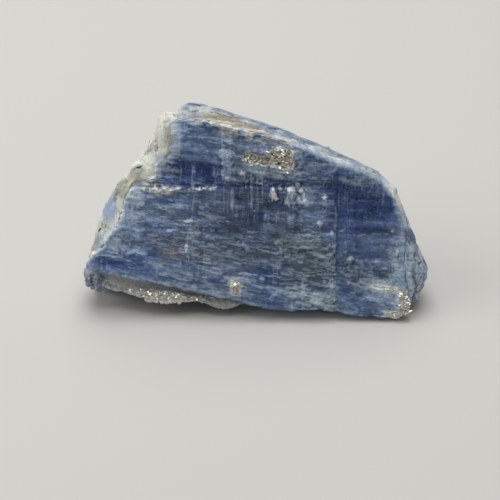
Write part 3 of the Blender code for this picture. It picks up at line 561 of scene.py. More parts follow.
def patches(a, b, keys, seed, soft=0.45, tear=1.0):
    # strongest of the named marks' soft oblongs, each s ramp(1 - r),
    # their ends torn along the grain by streaky noise
    u, v = alongGrain(a, b)
    a = a + tear * (1.2 * noise(u / 3.0, v / 0.9, seed=seed + 1)
                    + 0.5 * noise(u / 1.2, v / 0.5, seed=seed + 2))
    b = b + tear * 0.5 * layered(u / 2.0, v / 1.2, seed=seed + 3)
    best = np.zeros(np.shape(a))
    for key in keys.split():
        for pa, pb, ra, rb, s in broadFace[key]:
            r = (np.abs((a - pa) / ra) ** 3 + np.abs((b - pb + grainFall * (a - pa)) / rb) ** 3) ** 0.333
            best = np.maximum(best, s * ramp(r, 1 + soft, 1 - soft))
    return best


def crackDistance(a, b, crack):
    # distance to a straight line up the face that wanders a little
    return lineDistance(a + 0.12 * noise(a * 0, b / 0.8, seed=31), b, [crack[:2], crack[2:4]])


def breaks(u, v):
    # stairs of broken cleavage, 0 to 1 high, and thin lines along their risers and beside them, for a painted
    # highlight and a painted shadow
    field = 3 * layered(u / 4.5, v / 1.3, seed=87, octaves=2)
    riser = field - np.floor(field) - 0.5
    return terrace(field / 3, 3, 0.25), ramp(np.abs(riser), 0.2, 0.04), ramp(np.abs(riser + 0.3), 0.24, 0.05)


def blockMask(a, b, loop):
    # 1 inside an outline and 0 outside it, over a crisp edge that wanders a little
    drift = 0.14 * noise(a / 1.2, b / 1.2, seed=131) + 0.08 * noise(a / 0.5, b / 0.5, seed=132)
    return ramp(insideDistance(a, b, loop) + drift, -0.12, 0.12)


def pocketDepth(a, b):
    # how far inside the mica hollows a point is, from 0 at the wandering rim to 1 in the middle
    a = a + 0.9 * layered(a / 1.5, b / 1.5, seed=801)
    b = b + 0.7 * layered(a / 1.5, b / 1.5, seed=802)
    best = np.zeros(np.shape(a))
    for pa, pb, ra, rb in broadFace["pockets"]:
        r = np.hypot((a - pa) / ra, (b - pb) / rb)
        best = np.maximum(best, ramp(r, 1.1, 0.6))
    return best


def crumpled(a, b):
    # sharp creases: 1 - 2.4 |noise| at two sizes, from about -1 in the folds to 1 on the ridges
    large = 1 - 2.4 * np.abs(layered(a / 1.0, b / 0.8, seed=34))
    return 0.6 * large + 0.4 * (1 - 2.4 * np.abs(layered(a / 0.5, b / 0.4, seed=37)))


def faceRelief(a, b):
    # height of the broad face: blade levels, broken cells, terraces
    # along the grain, strands, cracks, ledge and hollows
    u, v = alongGrain(a, b)
    torn = 0.5 * noise(u / 3.5, v / 0.5, seed=11) + 0.25 * noise(u / 1.3, v / 0.3, seed=12)
    edge = 0.25 * layered(u / 1.6, v / 1.6, seed=13)
    middle = ramp(b + edge, 32.3, 31.9) * ramp(a + torn, 19.2, 18.8)
    upperMiddle = ramp(a + torn, 9.4, 10.0) * ramp(b + edge, 20.4, 21.0)
    pocketBlade = (ramp(a + 0.3 * torn, -7.9, -7.6) * ramp(a + 0.3 * torn, 11.1, 10.8)
                   * ramp(b + edge, 32.1, 33.1))
    height = 0.65 * middle * (1 - 0.6 * upperMiddle) + 0.4 * pocketBlade
    height += 0.3 * terrace(layered(u / 14, v / 2.6, seed=21, octaves=2), 4, 0.25)
    height += 0.22 * terrace(noise(u / 7 + 9, v / 1.1, seed=22), 2.5, 0.3)
    height += 0.07 * cells(u, v, 6.5, 1.9, 200)[0] + 0.05 * cells(u, v, 3.0, 0.8, 210)[0]
    still = 0.0
    for loop, _, _, lift, calm in broadFace["blocks"]:
        mask = blockMask(a, b, loop)
        height += 1.4 * lift * mask
        still = np.maximum(still, calm * mask)
    height += (1 - 0.6 * still) * (0.35 * breaks(u, v)[0] + 0.06 * noise(u / 2.6, v / 0.6, seed=23))
    for path, width, s in broadFace["seams"]:
        height -= 0.14 * s * bell(lineDistance(a, b, path), width + 0.08)
    height += 0.03 * noise(a / 0.5, b / 2.5, seed=25) + 0.02 * noise(a / 0.45, b / 0.45, seed=28)
    rough = patches(a, b, "olive pale", 40)
    height += rough * (0.16 * layered(u / 1.1, v / 0.6, seed=26) + 0.07 * noise(a / 0.3, b / 0.3, seed=27))
    for *crack, width, s in broadFace["cracks"]:
        height -= 0.10 * s * bell(crackDistance(a, b, crack), width + 0.1)
    away = lineDistance(a, b + 0.3 * layered(u / 1.2, v / 1.2, seed=32), broadFace["ledge"][0])
    height += (0.3 + 0.35 * layered(u / 1.0, v / 0.6, seed=36)) * bell(away, 0.55)
    pitted = 1 + 0.9 * noise(a / 0.3, b / 0.3, seed=33)
    for pa, pb, ra, rb, s in broadFace["spots"]:
        height += 0.25 * s * bell(a - pa, ra) * bell(b - pb, rb) * pitted
    hollow, crumple = pocketDepth(a, b), crumpled(a, b)
    height += hollow * (0.75 * crumple - 0.75) + 0.3 * bell(hollow - 0.12, 0.12)
    height += patches(a, b, "mica", 45, tear=0.5) * (0.45 * crumple - 0.1)
    return height + 0.2 * layered(a / 15, b / 12, seed=35)


def blockPaint(a, b, tone):
    # the crisp cleavage blocks over the tone, and how calm the streaks are, from 0 to 1
    calm = patches(a, b, "calm", 90)
    for loop, key, strength, _, still in broadFace["blocks"]:
        mask = blockMask(a, b, loop)
        tone = paint(tone, mask * strength, colour[key])
        calm = np.maximum(calm, still * mask)
    return tone, calm


def linePaint(a, b, tone):
    # pale cracks up the face, then pale streaks and dark seams, each
    # broken up and s exp(-(distance / width)^2) strong
    u, v = alongGrain(a, b)
    gaps = ramp(noise(a / 2, b / 0.9, seed=66), -0.6, 0.2)
    for *crack, width, s in broadFace["cracks"]:
        tone = paint(tone, 0.85 * s * gaps * bell(crackDistance(a, b, crack), width), colour["pale"])
    for kind, key, drift, gaps in (
        ("streaks", "pale", 0.2 * layered(u / 1.5, v / 1.5, seed=67),
         ramp(noise(a / 0.8, b / 0.8, seed=68), -0.7, 0.3)),
        ("seams", "navy", 0.15 * layered(u / 1.5, v / 1.5, seed=133),
         ramp(noise(a / 1.2, b / 1.2, seed=134), -0.9, -0.1)),
    ):
        for path, width, s in broadFace[kind]:
            tone = paint(tone, s * gaps * bell(lineDistance(a, b + drift, path), width), colour[key])
    return tone


def marginPaint(a, b, tone, mottle, grit):
    # pale crust along the left edge, a pale margin along the right
    # and top, and tan and white layers under the rim
    fromLeft = a - sideAt(broadFace["left"], b)
    wide = np.interp(b, [14, 20, 28, 31, 33, 35, 38, 46], [1.6, 1.2, 2.0, 3.6, 3.4, 2.2, 3.0, 3.6])
    fringe = ramp(fromLeft + 0.9 * mottle + 0.4 * grit, wide, 0.1) * ramp(b, 13, 16)
    fromTop, fromRight = heightAt(broadFace["top"], a) - b, sideAt(broadFace["right"], b) - a
    nearest = np.minimum(fromRight, fromTop * np.interp(a, [8, 12], [9, 1]))
    margin = (ramp(nearest + 0.5 * mottle + 0.3 * grit, 1.3, 0.2)
              * np.interp(b, [14, 24, 28], [0.35, 0.45, 0.8]))
    layers = ramp(fromTop, np.interp(a, [-14, -6, 0, 12], [1.9, 2.8, 2.6, 1.8]), 0.5) * ramp(a, -15.5, -12)
    layers = layers * ramp(a, 14, 9) * ramp(mottle + 0.3 * noise(a / 3, b / 1.5, seed=96), -0.5, 0.0)
    layers = layers * np.interp(a, [-14, -1, 3, 12], [1, 1, 0.45, 0.2])
    lines = noise(a / 4, fromTop / 0.28, seed=71) + 0.4 * noise(a / 1.5, fromTop / 0.2, seed=84)
    return coats(
        tone,
        (fringe * 0.75, "pale"),
        (fringe * ramp(mottle + 0.5 * grit, 0.0, 0.4), "cream"),
        (margin, "pale"),
        (layers * 0.7, "tan"),
        (layers * ramp(lines, 0.0, 0.4) * 0.9, "cream"),
        (layers * ramp(-lines, 0.2, 0.6) * 0.7, "umber"),
    )


def facePaint(a, b):
    # colour, polish and hatching of the broad face: blue, then marks,
    # streaks with the grain and lines across it, a painted highlight and painted shadow along
    # each broken step, pale edges and spots, and mica with painted shade in its folds and
    # painted glints on its ridges; at last the dusky places are darkened by half
    u, v = alongGrain(a, b)
    broad = layered(u / 9, v / 2.2, seed=51)
    fine = layered(u / 3.2, v / 0.9, seed=52, octaves=2)
    thin = noise(u / 2.0, v / 0.4, seed=53)
    wander = 0.4 * noise(a / 2, b / 2, seed=54)
    grit = noise(a / 0.42, b / 0.42, seed=56)
    mottle = layered(a / 1.6, b / 1.1, seed=59, octaves=2)
    large, medium, small = (
        cells(u, v, *size) for size in ((6.5, 1.9, 200), (3.0, 0.8, 210), (1.6, 0.45, 220)))
    large, (medium, low), small = large[0], medium, small[0]
    deep, olive, pale = (
        patches(a, b, key, seed) for key, seed in (("deep", 61), ("olive", 63), ("pale", 65)))
    middle = ramp(np.hypot((a + 2) / 26, (b - 18) / 14), 1.1, 0.6)
    tone, calm = blockPaint(a, b, coats(
        colour["blue"],
        (0.45 + 0.9 * broad + 0.3 * large, "slate"),
        (deep * (0.9 + 0.3 * fine + 0.2 * medium), "deep"),
        (patches(a, b, "slate", 62) * 0.7, "slate"),
        (olive * 0.85, "olive"),
        (0.6 * ramp(layered(u / 6, v / 2.5, seed=72), 0.05, 0.45) * middle, "grey"),
        (patches(a, b, "brown", 64) * 0.8, "brown"),
    ))
    hatchy, dashy = patches(a, b, "hatches", 77), patches(a, b, "dashes", 78)
    change = (1 - 0.6 * calm) * (0.26 * fine + 0.22 * thin + 0.12 * small)
    change += (0.08 + 0.4 * hatchy) * noise(a / 0.45 + wander, b / 3.6, seed=55) + 0.18 * grit
    change += (0.34 - 0.1 * calm) * mottle + 0.14 * large + 0.14 * medium
    dark = ramp(fine + 0.5 * thin + 0.4 * mottle + 0.25 * deep + 0.2 * small, 0.3, 0.8) * (1 - 0.6 * olive)
    darkHatch = ramp(noise(a / 0.45 + wander, b / 4.5, seed=79), 0.3, 0.7) * hatchy
    _, riser, under = breaks(u, v)
    broken = ramp(noise(u / 2.2, v / 1.2, seed=88), 0.0, 0.4) * (1 - 0.8 * calm)
    steps = ramp(low, 0.2, 0.05) * ramp(medium, 0.1, 0.5)
    wisps = (noise(u / 1.7, (v + 0.3 * noise(u / 1.5, v / 2, seed=89)) / 0.3, seed=57) + 0.4 * dashy
             - 0.35 * deep)
    bright = ramp(noise(a / 0.33 + wander, b / 6.0, seed=73) + 0.4 * noise(a / 3, b / 3, seed=74), 0.6, 0.9)
    tone = linePaint(a, b, coats(
        tone * np.exp(change * (1.15 - 0.2 * deep))[..., None],
        (dark * (0.5 - 0.35 * calm), "navy"),
        (0.4 * darkHatch, "navy"),
        # painted shadow under each broken step, as a dark line beside its riser
        (0.35 * under * broken, "navy"),
        # painted highlight along the edge of each broken step
        ((0.45 + 0.35 * dashy - 0.3 * deep) * riser * broken, "pale"),
        # painted highlight along the lower edges of raised cleavage cells
        (0.35 * steps * (1 - deep), "pale"),
        ((0.45 + 0.3 * dashy) * ramp(wisps, 0.6, 0.85), "pale"),
        (0.6 * bright * np.minimum(0.1 + hatchy, 1), "pale"),
        (pale * (0.5 + 0.6 * fine + 0.4 * grit + 0.4 * thin + 0.4 * mottle), "pale"),
    ))
    for path, (places, widths) in zip(broadFace["ledge"], broadFace["ledgeWide"]):
        away = lineDistance(a, b + 0.35 * layered(u / 1.4, v / 1.2, seed=32), path)
        wide = np.interp(a, places, widths) * (1 + 0.5 * noise(a / 1.5, b * 0, seed=75))
        cover = ramp(away + 0.45 * noise(a / 0.45, b / 0.35, seed=76) + 0.3 * mottle, wide + 0.25,
                     wide - 0.25)
        shaded = ramp(noise(a / 0.7, b / 0.4, seed=95) + 0.3 * thin, 0.1, 0.5)
        tone = coats(tone, (cover * (0.55 + 0.5 * grit + 0.5 * thin + 0.6 * mottle), "cream"),
                     (cover * shaded * 0.7, "shade"))
    frosted = patches(a, b, "frosted", 97, soft=0.7)
    specks = patches(a, b, "specks", 85) * ramp(noise(a / 0.4, b / 0.5, seed=86) + 0.3 * grit, 0.2, 0.6)
    tone = coats(tone, (frosted * (0.45 + 0.5 * thin + 0.4 * mottle + 0.3 * grit), "mint"), (specks, "pale"))
    spotted, torn = np.zeros(a.shape), 0.5 * noise(a / 0.4, b / 0.6, seed=70) + 0.3 * grit
    for pa, pb, ra, rb, s in broadFace["spots"]:
        r = (np.abs((a - pa) / ra) ** 1.5 + np.abs((b - pb) / rb) ** 1.5) ** 0.67 + torn
        mask = s * ramp(r, 1.3, 0.6)
        tone = paint(tone, mask * (0.95 if pb > broadFace["whiteOver"] else 0.6), colour["white"])
        spotted = np.maximum(spotted, mask)
    hollow, crumple = pocketDepth(a, b), crumpled(a, b) + 0.3 * grit
    lining = bell(hollow - 0.18, 0.25) * ramp(hollow, 0.0, 0.06) * (0.75 + 0.6 * grit + 0.3 * mottle)
    inside = ramp(hollow + 0.2 * mottle, 0.3, 0.65)
    mica = patches(a, b, "mica", 45, tear=0.5)
    shiny = np.maximum(inside, mica)
    tone = coats(
        marginPaint(a, b, tone, mottle, grit),
        (lining, "cream"),
        (inside, "tan"),
        # partly the brown of the mica and partly painted shade: umber darkest in the folds of the crumpled
        # hollows
        (inside * ramp(crumple, 0.15, -0.5), "umber"),
        # partly the mica's silver and partly a painted highlight on the ridges of the folds
        (inside * ramp(crumple, 0.2, 0.6), "silver"),
        (mica * ramp(crumple, -1.4, -0.2), "silver"),
        # painted glints: white on the ridges of the crumpled mica
        (mica * ramp(crumple, -0.3, 0.3), "white"),
    )
    tone = (tone
            * (1 - 0.5 * patches(a, b, "dusk", 94, soft=0.8) * (1 - np.maximum(shiny, spotted)))[..., None])
    tone = tone * (broadFace["tint"] + (1 - broadFace["tint"]) * shiny[..., None])
    shine = np.clip(0.3 + 0.3 * deep - 0.3 * olive - 0.2 * pale + 0.5 * shiny + 0.1 * fine, 0, 1)
    return np.maximum(tone, darkest), shine, np.clip(0.25 + hatchy - olive, 0, 1.3)


def faceGrid():
    # Coons patch: opposite edges blended both ways, less the blend
    # of the four corners; its rim is then made ragged
    s, t = np.meshgrid(np.linspace(0, 1, broadFace["columns"]), np.linspace(0, 1, broadFace["rows"]))
    s, t = s[..., None], t[..., None]
    bottom, top = (boundaryAt(broadFace[key], broadFace["columns"])[None] for key in ("bottom", "top"))
    left, right = (boundaryAt(broadFace[key], broadFace["rows"])[:, None] for key in ("left", "right"))
    corners = ((1 - t) * ((1 - s) * bottom[:, :1] + s * bottom[:, -1:])
               + t * ((1 - s) * top[:, :1] + s * top[:, -1:]))
    p = (1 - t) * bottom + t * top + (1 - s) * left + s * right - corners
    near = ramp(np.minimum(np.minimum(s, 1 - s), np.minimum(t, 1 - t)), 0.05, 0)
    a, b = p[..., :1], p[..., 1:]
    ragged = [0.45 * layered(a / 1.6, b / 0.9, seed=81), 0.4 * layered(a / 2.2, b / 1.1, seed=82)]
    return p + near * np.concatenate(ragged, -1)


def buildBroadFace():
    # front grid, then rings carried back from its edge to a pole behind its middle
    p = faceGrid()
    rows, columns = p.shape[:2]
    i, j = np.arange(rows)[:, None], np.arange(columns)[None]
    fromEdge = np.minimum(np.minimum(j, columns - 1 - j), np.minimum(i, rows - 1 - i))
    height = faceRelief(p[..., 0], p[..., 1]) - 0.22 * bell(fromEdge, 1.2)
    flat = np.concatenate([p, height[..., None]], -1).reshape(-1, 3)
    index = np.arange(rows * columns).reshape(rows, columns)
    loop = np.concatenate([index[0, :-1], index[:-1, -1], index[-1, :0:-1], index[:0:-1, 0]])
    rim = flat[loop]
    ahead = np.roll(rim, -6, 0) - np.roll(rim, 6, 0)
    outward = unit(np.stack([ahead[:, 1], -ahead[:, 0]], -1))
    rings, middle = [], np.array(broadFace["middle"])
    for n, (out, back) in enumerate(broadFace["side"]):
        rough = 1 + 0.7 * noise(rim[:, 0] / 1.1, rim[:, 1] / 1.1, n * 0.9, seed=83)
        rings.append(np.concatenate([rim[:, :2] + outward * (out * rough)[:, None], rim[:, 2:] - back], 1))
    last = rings[-1]
    for keep in (0.75, 0.4):
        rings.append(np.concatenate([middle + keep * (last[:, :2] - middle), last[:, 2:]], 1))
    pole = [[*middle, 0.5 - broadFace["side"][-1][1]]]
    points = overFloor(np.concatenate([flat, *rings, pole]))
    wall = [loop] + [len(flat) + n * len(loop) + np.arange(len(loop)) for n in range(len(rings))]
    faces = [gridFaces(rows, columns)]
    for near, far in zip(wall[:-1], wall[1:]):
        faces.append(np.stack([near, far, np.roll(far, -1), np.roll(near, -1)], -1))
    faces.append(fanFaces(wall[-1], len(points) - 1))
    tone, shine, hatch = facePaint(points[:, 0], points[:, 1])
    tone = paint(tone, 0.5 * ramp(-(points[:, 2] + 0.1), 0.2, 0.9), colour["pale"])
    return makePiece("broad_face", points, faces, tone, shine, bladeStone, hatch)


# The lump behind the face

lump = dict(
    stations=292, endStations=14, half=43.0, endReach=2.5, warp=0.4, clear=1.2, rounds=30, middleC=-9.0,
    # points round a ring, and the corners of its outline as b and c
    lowFront=30, front=40, topFront=34, top=66, back=96, bottom=36, rimBand=5.0, frontC=2.4, backTop=-17.6,
    backFoot=(8.8, -26.0), under=(-0.8, -4.0),
    # height as seen from the front, 0.978 b - 0.208 c: outline of the rim, and where the broad face meets it
    crest=[(-20.5, 49), (-17.8, 50.2), (-15, 51.3), (-9.3, 50.9), (-6.4, 49.7), (-.7, 48.5), (7.8, 45.4),
           (10.7, 44.4), (16.4, 41.1), (22.1, 38.7), (27.8, 36.8), (30.7, 34.7), (33.5, 29.7), (36, 26)],
    foot=[(-20.5, 46.6), (-13, 47.4), (-9.5, 46.6), (-5.5, 45.2), (1.7, 43.2), (7.1, 41.6), (10.7, 40.6),
          (13.3, 39.7), (16.1, 38.3), (18.8, 36.9), (21.6, 36.4), (24.5, 35.3), (27.3, 34.0), (29.5, 32.7),
          (31.4, 30.2), (34, 28.8), (36, 24)],
    upper=[(-43, 8.7), (-41.2, 10.6), (-40.4, 12.8), (-38, 20.6), (-35.6, 27.5), (-31.8, 33), (-27, 39.5),
           (-22.5, 47), (-20.2, 49), (-17.2, 51), (-12.5, 51.3), (-8, 50.3), (1, 47.4), (13, 42.9),
           (20.5, 39.8), (29.5, 35.3), (33.5, 31.2), (35.2, 28), (37.6, 20), (41, 10.8), (43, 8.4)],
    lower=[(-43, 8.1), (-40.4, 7), (-30, 5), (-24, 3), (-14, 3.1), (-10, 1.7), (-5, 1.6), (2, 2.4),
           (16, 2.2), (30, 0), (36.5, 0.2), (39, 4.6), (41, 8.2), (43, 8)],
    # how far left the crust starts, as a and b
    crustEdge=[(-39.5, 12), (-34.9, 18.7), (-31.9, 22.1), (-30.2, 31), (-23.6, 34.5), (-23.0, 37.6),
               (-19.8, 40.2), (-19.6, 46.7), (-17, 52)],
    # patches of the left crust: middle a, height seen, half sizes, strength, colour
    crust=[(-31.8, 31.2, 2.1, 2.5, .85, "moss"), (-34.6, 26.5, 2.3, 3.3, .95, "facet"),
           (-35.9, 21.8, 2.0, 2.2, .6, "mint"), (-22.6, 39.0, 1.2, 1.5, .8, "facet"),
           (-24.3, 34.6, 1.0, .7, .8, "mint"), (-38.2, 17.5, 1.6, 3.4, .7, "moss"),
           (-28.0, 33.0, 2.0, 2.0, .5, "tan"), (-39.8, 11.0, 2.4, 3.6, .9, "violet"),
           (-37.0, 18.5, 1.2, 1.6, .5, "strand"), (-22.5, 43.5, 2.6, 4.5, 1, "crust"),
           # the last moss patch is partly the crust's greenish grey and partly painted shade where the crust
           # lies in shadow
           (-27.3, 35.2, 1.9, 1.5, .9, "moss")],
)


def lumpCage():
    # rounded rings of points round the leaning block, one for each station along a, closing towards both ends
    half, reach = lump["half"], lump["endReach"]
    ends = half - reach * (1 - np.sqrt(1 - np.linspace(0.06, 0.97, lump["endStations"]) ** 2))
    inner = np.linspace(-ends[-1], ends[-1], lump["stations"] - 2 * lump["endStations"] + 2)[1:-1]
    stations = np.concatenate([-ends, inner, ends[::-1]])
    squeeze = np.sqrt(np.clip(1 - ((np.abs(stations) - half + reach) / reach) ** 2, 0, 1))
    squeeze = np.where(np.abs(stations) < half - reach, 1, np.maximum(squeeze, 0.06))
    high, low = (heightAt(lump["upper"], stations) + lump["clear"],
                 heightAt(lump["lower"], stations) - lump["clear"])
    high = high + np.minimum(np.abs(np.gradient(high, stations)), 2.5)
    frontC, (backB, backC), (underB, underC) = lump["frontC"], lump["backFoot"], lump["under"]
    lowFront = low + 0.15 * (high - low)
    band = np.maximum(high - lump["rimBand"], low + 0.5 * (high - low))
    corners = [(low, frontC, lump["lowFront"]), (lowFront, frontC, lump["front"]),
               (band, frontC, lump["topFront"]), (high, frontC, lump["top"]),
               (high, lump["backTop"], lump["back"]), (backB, backC, lump["bottom"]), (underB, underC, 8)]
    pieces = []
    for (b0, c0, n), (b1, c1, _) in zip(corners, corners[1:] + corners[:1]):
        t = np.arange(n) / n
        b0, b1 = (np.broadcast_to(b, stations.shape)[:, None] for b in (b0, b1))
        pieces.append(np.stack([b0 * (1 - t) + b1 * t,
                                np.broadcast_to(c0 * (1 - t) + c1 * t, (len(stations), n))], -1))
    ring = np.concatenate(pieces, 1)
    for _ in range(lump["rounds"]):
        ring = 0.5 * ring + 0.25 * (np.roll(ring, 1, 1) + np.roll(ring, -1, 1))
    centre = np.stack([0.5 * (high + low), np.full(len(stations), lump["middleC"])], -1)[:, None]
    ring = centre + squeeze[:, None, None] * (ring - centre)
    a = np.broadcast_to(stations[:, None, None], ring.shape[:2] + (1,))
    return np.concatenate([a, ring], -1)


def seat(p, faces, target):
    # each point is sent inwards along its normal until it meets the
    # target; returns points and which ones met it
    mesh = bpy.data.meshes.new("seat")
    flat = toWorld(p.reshape(-1, 3))
    mesh.from_pydata(flat.tolist(), [], [corners for block in faces for corners in block.tolist()])
    carrier = bpy.data.objects.new("seat", mesh)
    bpy.context.scene.collection.objects.link(carrier)
    wrap = carrier.modifiers.new("seat", "SHRINKWRAP")
    wrap.target = target
    wrap.wrap_method = "PROJECT"
    wrap.use_negative_direction = True
    wrap.use_positive_direction = False
    reached = carrier.evaluated_get(bpy.context.evaluated_depsgraph_get())
    moved = np.empty(len(flat) * 3)
    reached.data.vertices.foreach_get("co", moved)
    moved = moved.reshape(-1, 3)
    met = np.linalg.norm(moved - flat, axis=1) > 1e-5
    bpy.data.objects.remove(carrier)
    bpy.data.meshes.remove(mesh)
    return toLean(moved).reshape(p.shape), met.reshape(p.shape[:2])


def mergedCopy(node):
    # a copy of the CAD solid with its loose triangles joined
    mesh = node.data.copy()
    body = bmesh.new()
    body.from_mesh(mesh)
    bmesh.ops.remove_doubles(body, verts=body.verts, dist=1e-6)
    body.to_mesh(mesh)
    body.free()
    copy = bpy.data.objects.new("solid", mesh)
    bpy.context.scene.collection.objects.link(copy)
    return copy


def spread(p, known):
    # unknown grid points become the mean of their known neighbours, ring by ring
    known = known.astype(float)[..., None]
    value = p * known
    while known.min() == 0:
        total, count = np.zeros_like(value), np.zeros_like(known)
        for shift, axis in ((1, 0), (-1, 0), (1, 1), (-1, 1)):
            near, has = np.roll(value, shift, axis), np.roll(known, shift, axis)
            if axis == 0:
                row = 0 if shift == 1 else -1
                near[row], has[row] = 0, 0
            total, count = total + near * has, count + has
        fill = (known == 0) & (count > 0)
        value = np.where(fill, total / np.maximum(count, 1), value)
        known = np.where(fill, 1.0, known)
    return value


def rimPaint(a, seen, down, strand, thin):
    # pale layers along the rim: a blue edging on the outline, where down
    # is 0, and a white band by the face, where it is 1
    lines = (noise(a / 6, seen / 0.45 + 0.32 * a, seed=116)
             + 0.5 * noise(a / 2.5, seen / 0.22 + 0.6 * a, seed=117))
    drift = down + 0.25 * lines + 0.3 * layered(a / 5, seen / 4, seed=118)
    blotch = ramp(layered(a / 2.6, seen / 0.9 + 0.2 * a, seed=119) + 0.3 * lines, 0.05, 0.45)
    blotch = blotch * ramp(down, 0.9, 0.4) * np.interp(a, [-16, -9, 10, 20, 26], [0.4, 1, 1.2, 0.7, 0.3])
    white = ramp(drift - np.interp(a, [-12, -6, 14, 18], [0.1, 0.13, 0.13, 0]), 0.42, 0.62)
    white = white * np.interp(a, [-20, -14, -8, 26, 32], [0.9, 1, 0.95, 1, 0.9])
    edgeWidth = np.interp(a, [-12, -6, 10, 16], [0.34, 0.75, 0.75, 0.4])
    edging = ramp(down + 0.25 * noise(a / 2.0, seen / 0.8, seed=124), edgeWidth, 0.15)
    edging = edging * np.interp(a, [-20, -17, 8, 16, 30], [0.5, 0.9, 0.9, 0.6, 0.4])
    whiteTone = coats(colour["frost"], (ramp(np.abs(a + 2), 14, 8) * 0.8, "cream"))
    tone = coats(
        colour["ice"],
        (ramp(lines + 0.3 * strand, 0.0, 0.5) * np.interp(a, [-16, -8, 10, 16], [1, 0.6, 0.6, 0.9]), "frost"),
        (blotch, "strand"),
        (edging * (0.7 + 0.6 * lines), "blue"),
    )
    shaded = ramp(-lines + 0.3 * thin, 0.3, 0.7) * np.interp(a, [-16, -12, 6, 12], [0.2, 0.5, 0.45, 0.2])
    greyer = ramp(drift, 0.35, 0.7) * ramp(np.abs(a - 1), 11, 7)
    stained = ramp(drift + np.interp(a, [-11, -8, -1, 3], [0, 0.3, 0.3, 0]), 0.7, 0.9)
    stained = stained * ramp(a, 8, 3) * ramp(a, -16, -12) * ramp(lines, 0.7, 0.0)
    shoulder = ramp(np.hypot((a - 28.5) / 4, (seen - 34) / 3), 1.0, 0.5)
    return coats(
        paint(tone, white * (0.75 + 0.6 * lines), whiteTone),
        (white * shaded, "shade"),
        (greyer * ramp(lines, 0.4, -0.3) * 0.45, "shade"),
        (stained * 0.85, "clay"),
        (shoulder * 0.5 * ramp(lines, -0.4, 0.2), "mint"),
    )


def rightPaint(a, b, c, seen):
    # upright strands of grey and ice on the right end, with a frosted shoulder
    upright = (noise((c + a) / 0.7 + 0.2 * b, b / 5, seed=120)
               + 0.6 * noise((c + a) / 0.4 + 0.3 * b, b / 2.5, seed=121))
    shoulder = ramp(np.hypot((a - 33.5) / 3.5, (seen - 30) / 5) + 0.25 * upright, 1.0, 0.5) * ramp(-c, 9, 5)
    return coats(
        colour["strand"],
        (0.45 + ramp(upright, -0.1, 0.4), "glow"),
        (ramp(-upright, 0.2, 0.7) * 0.7, "blue"),
        (shoulder, "frost"),
    )


def crustPaint(a, b, c, seen):
    # pale crust of the left end with its own patches, and painted shade along thin wavy lines like creases
    tone = coats(
        colour["crust"],
        (ramp(layered(a / 4, b / 3, c / 4, seed=108), 0.0, 0.5) * 0.8, "cream"),
        (ramp(layered(a / 2.2, b / 2.2, c / 2.2, seed=107), 0.3, 0.6) * 0.3, "moss"),
    )
    torn = 0.35 * layered(a / 1.2, seen / 1.2, c / 1.2, seed=122)
    for middleA, middleSeen, halfA, halfSeen, strength, key in lump["crust"]:
        r = np.hypot((a - middleA) / halfA, (seen - middleSeen) / halfSeen) + torn
        tone = paint(tone, ramp(r, 1.2, 0.75) * strength, colour[key])
    # painted shade along wavy crease lines across the crust
    creaseShade = np.abs(layered(a / 1.3, seen / 1.8, c / 1.3, seed=123))
    return tone * (1 - 0.16 * ramp(creaseShade, 0.07, 0.0))[..., None]


def lumpPaint(p, arc):
    # colour and polish of the lump: blades of blue and ice, then
    # the rim, the right end and the crust over them
    a, b, c = p[..., 0], p[..., 1], p[..., 2]
    u, v = alongGrain(a, b)
    seen = heightSeen(b, c)
    crest, foot = heightAt(lump["crest"], a), heightAt(lump["foot"], a)
    crustEdge = sideAt(lump["crustEdge"], b) + 0.8 * layered(a / 1.5, b / 1.2, c / 1.5, seed=113)
    left = ramp(crustEdge - a, -2.0, 0.0) * ramp(a, -16, -18.5)
    right = ramp(a - np.interp(b, [0, 8, 21, 29, 33], [36, 36.5, 35, 32.5, 30]), -1.0, 0.5)
    backing = ramp(-c, 8, 13)
    rim = ramp(foot - seen, 1.5, 0.0) * (1 - left) * (1 - right) * ramp(-c, 11, 7)
    strand = layered(a / 4.5, arc / 0.5, c / 6, seed=101)
    thin = noise(a / 2.2, arc / 0.27, seed=102)
    streak = layered(u / 7, v / 0.9, c / 1.2, seed=103)
    lumps = layered(a / 2.6, b / 2.6, c / 2.6, seed=104)
    grit = noise(a / 0.4, b / 0.4, c / 0.4, seed=105)
    blade = cells(u + 0.4 * c, v + 0.15 * c, 9.0, 2.2, 230)[0]
    tone = coats(
        colour["blue"],
        (0.5 + 0.9 * streak + 0.5 * blade, "slate"),
        (ramp(layered(u / 12, v / 3, c / 3, seed=106) + 0.25 * blade, 0.0, 0.45), "deep"),
        (ramp(blade + 0.5 * streak, 0.6, 0.9) * 0.8, "ice"),
        (ramp(lumps + 0.3 * streak, 0.15, 0.5) * 0.7, "cream"),
    )
    down = (crest - seen) / np.maximum(crest - foot, 0.5)
    tone = paint(tone, rim, rimPaint(a, seen, down, strand, thin))
    tone = paint(tone, right * (1 - 0.6 * backing), rightPaint(a, b, c, seen))
    tone = paint(tone, left * (1 - 0.4 * backing), crustPaint(a, b, c, seen))
    change = 0.22 * strand * (1 - left) + 0.12 * thin * (1 - 0.7 * left) + 0.12 * grit * (1 - 0.5 * left)
    shine = np.clip(0.35 + 0.2 * streak - 0.1 * left + 0.1 * rim, 0, 1)
    return np.maximum(tone * np.exp(change)[..., None], darkest), shine


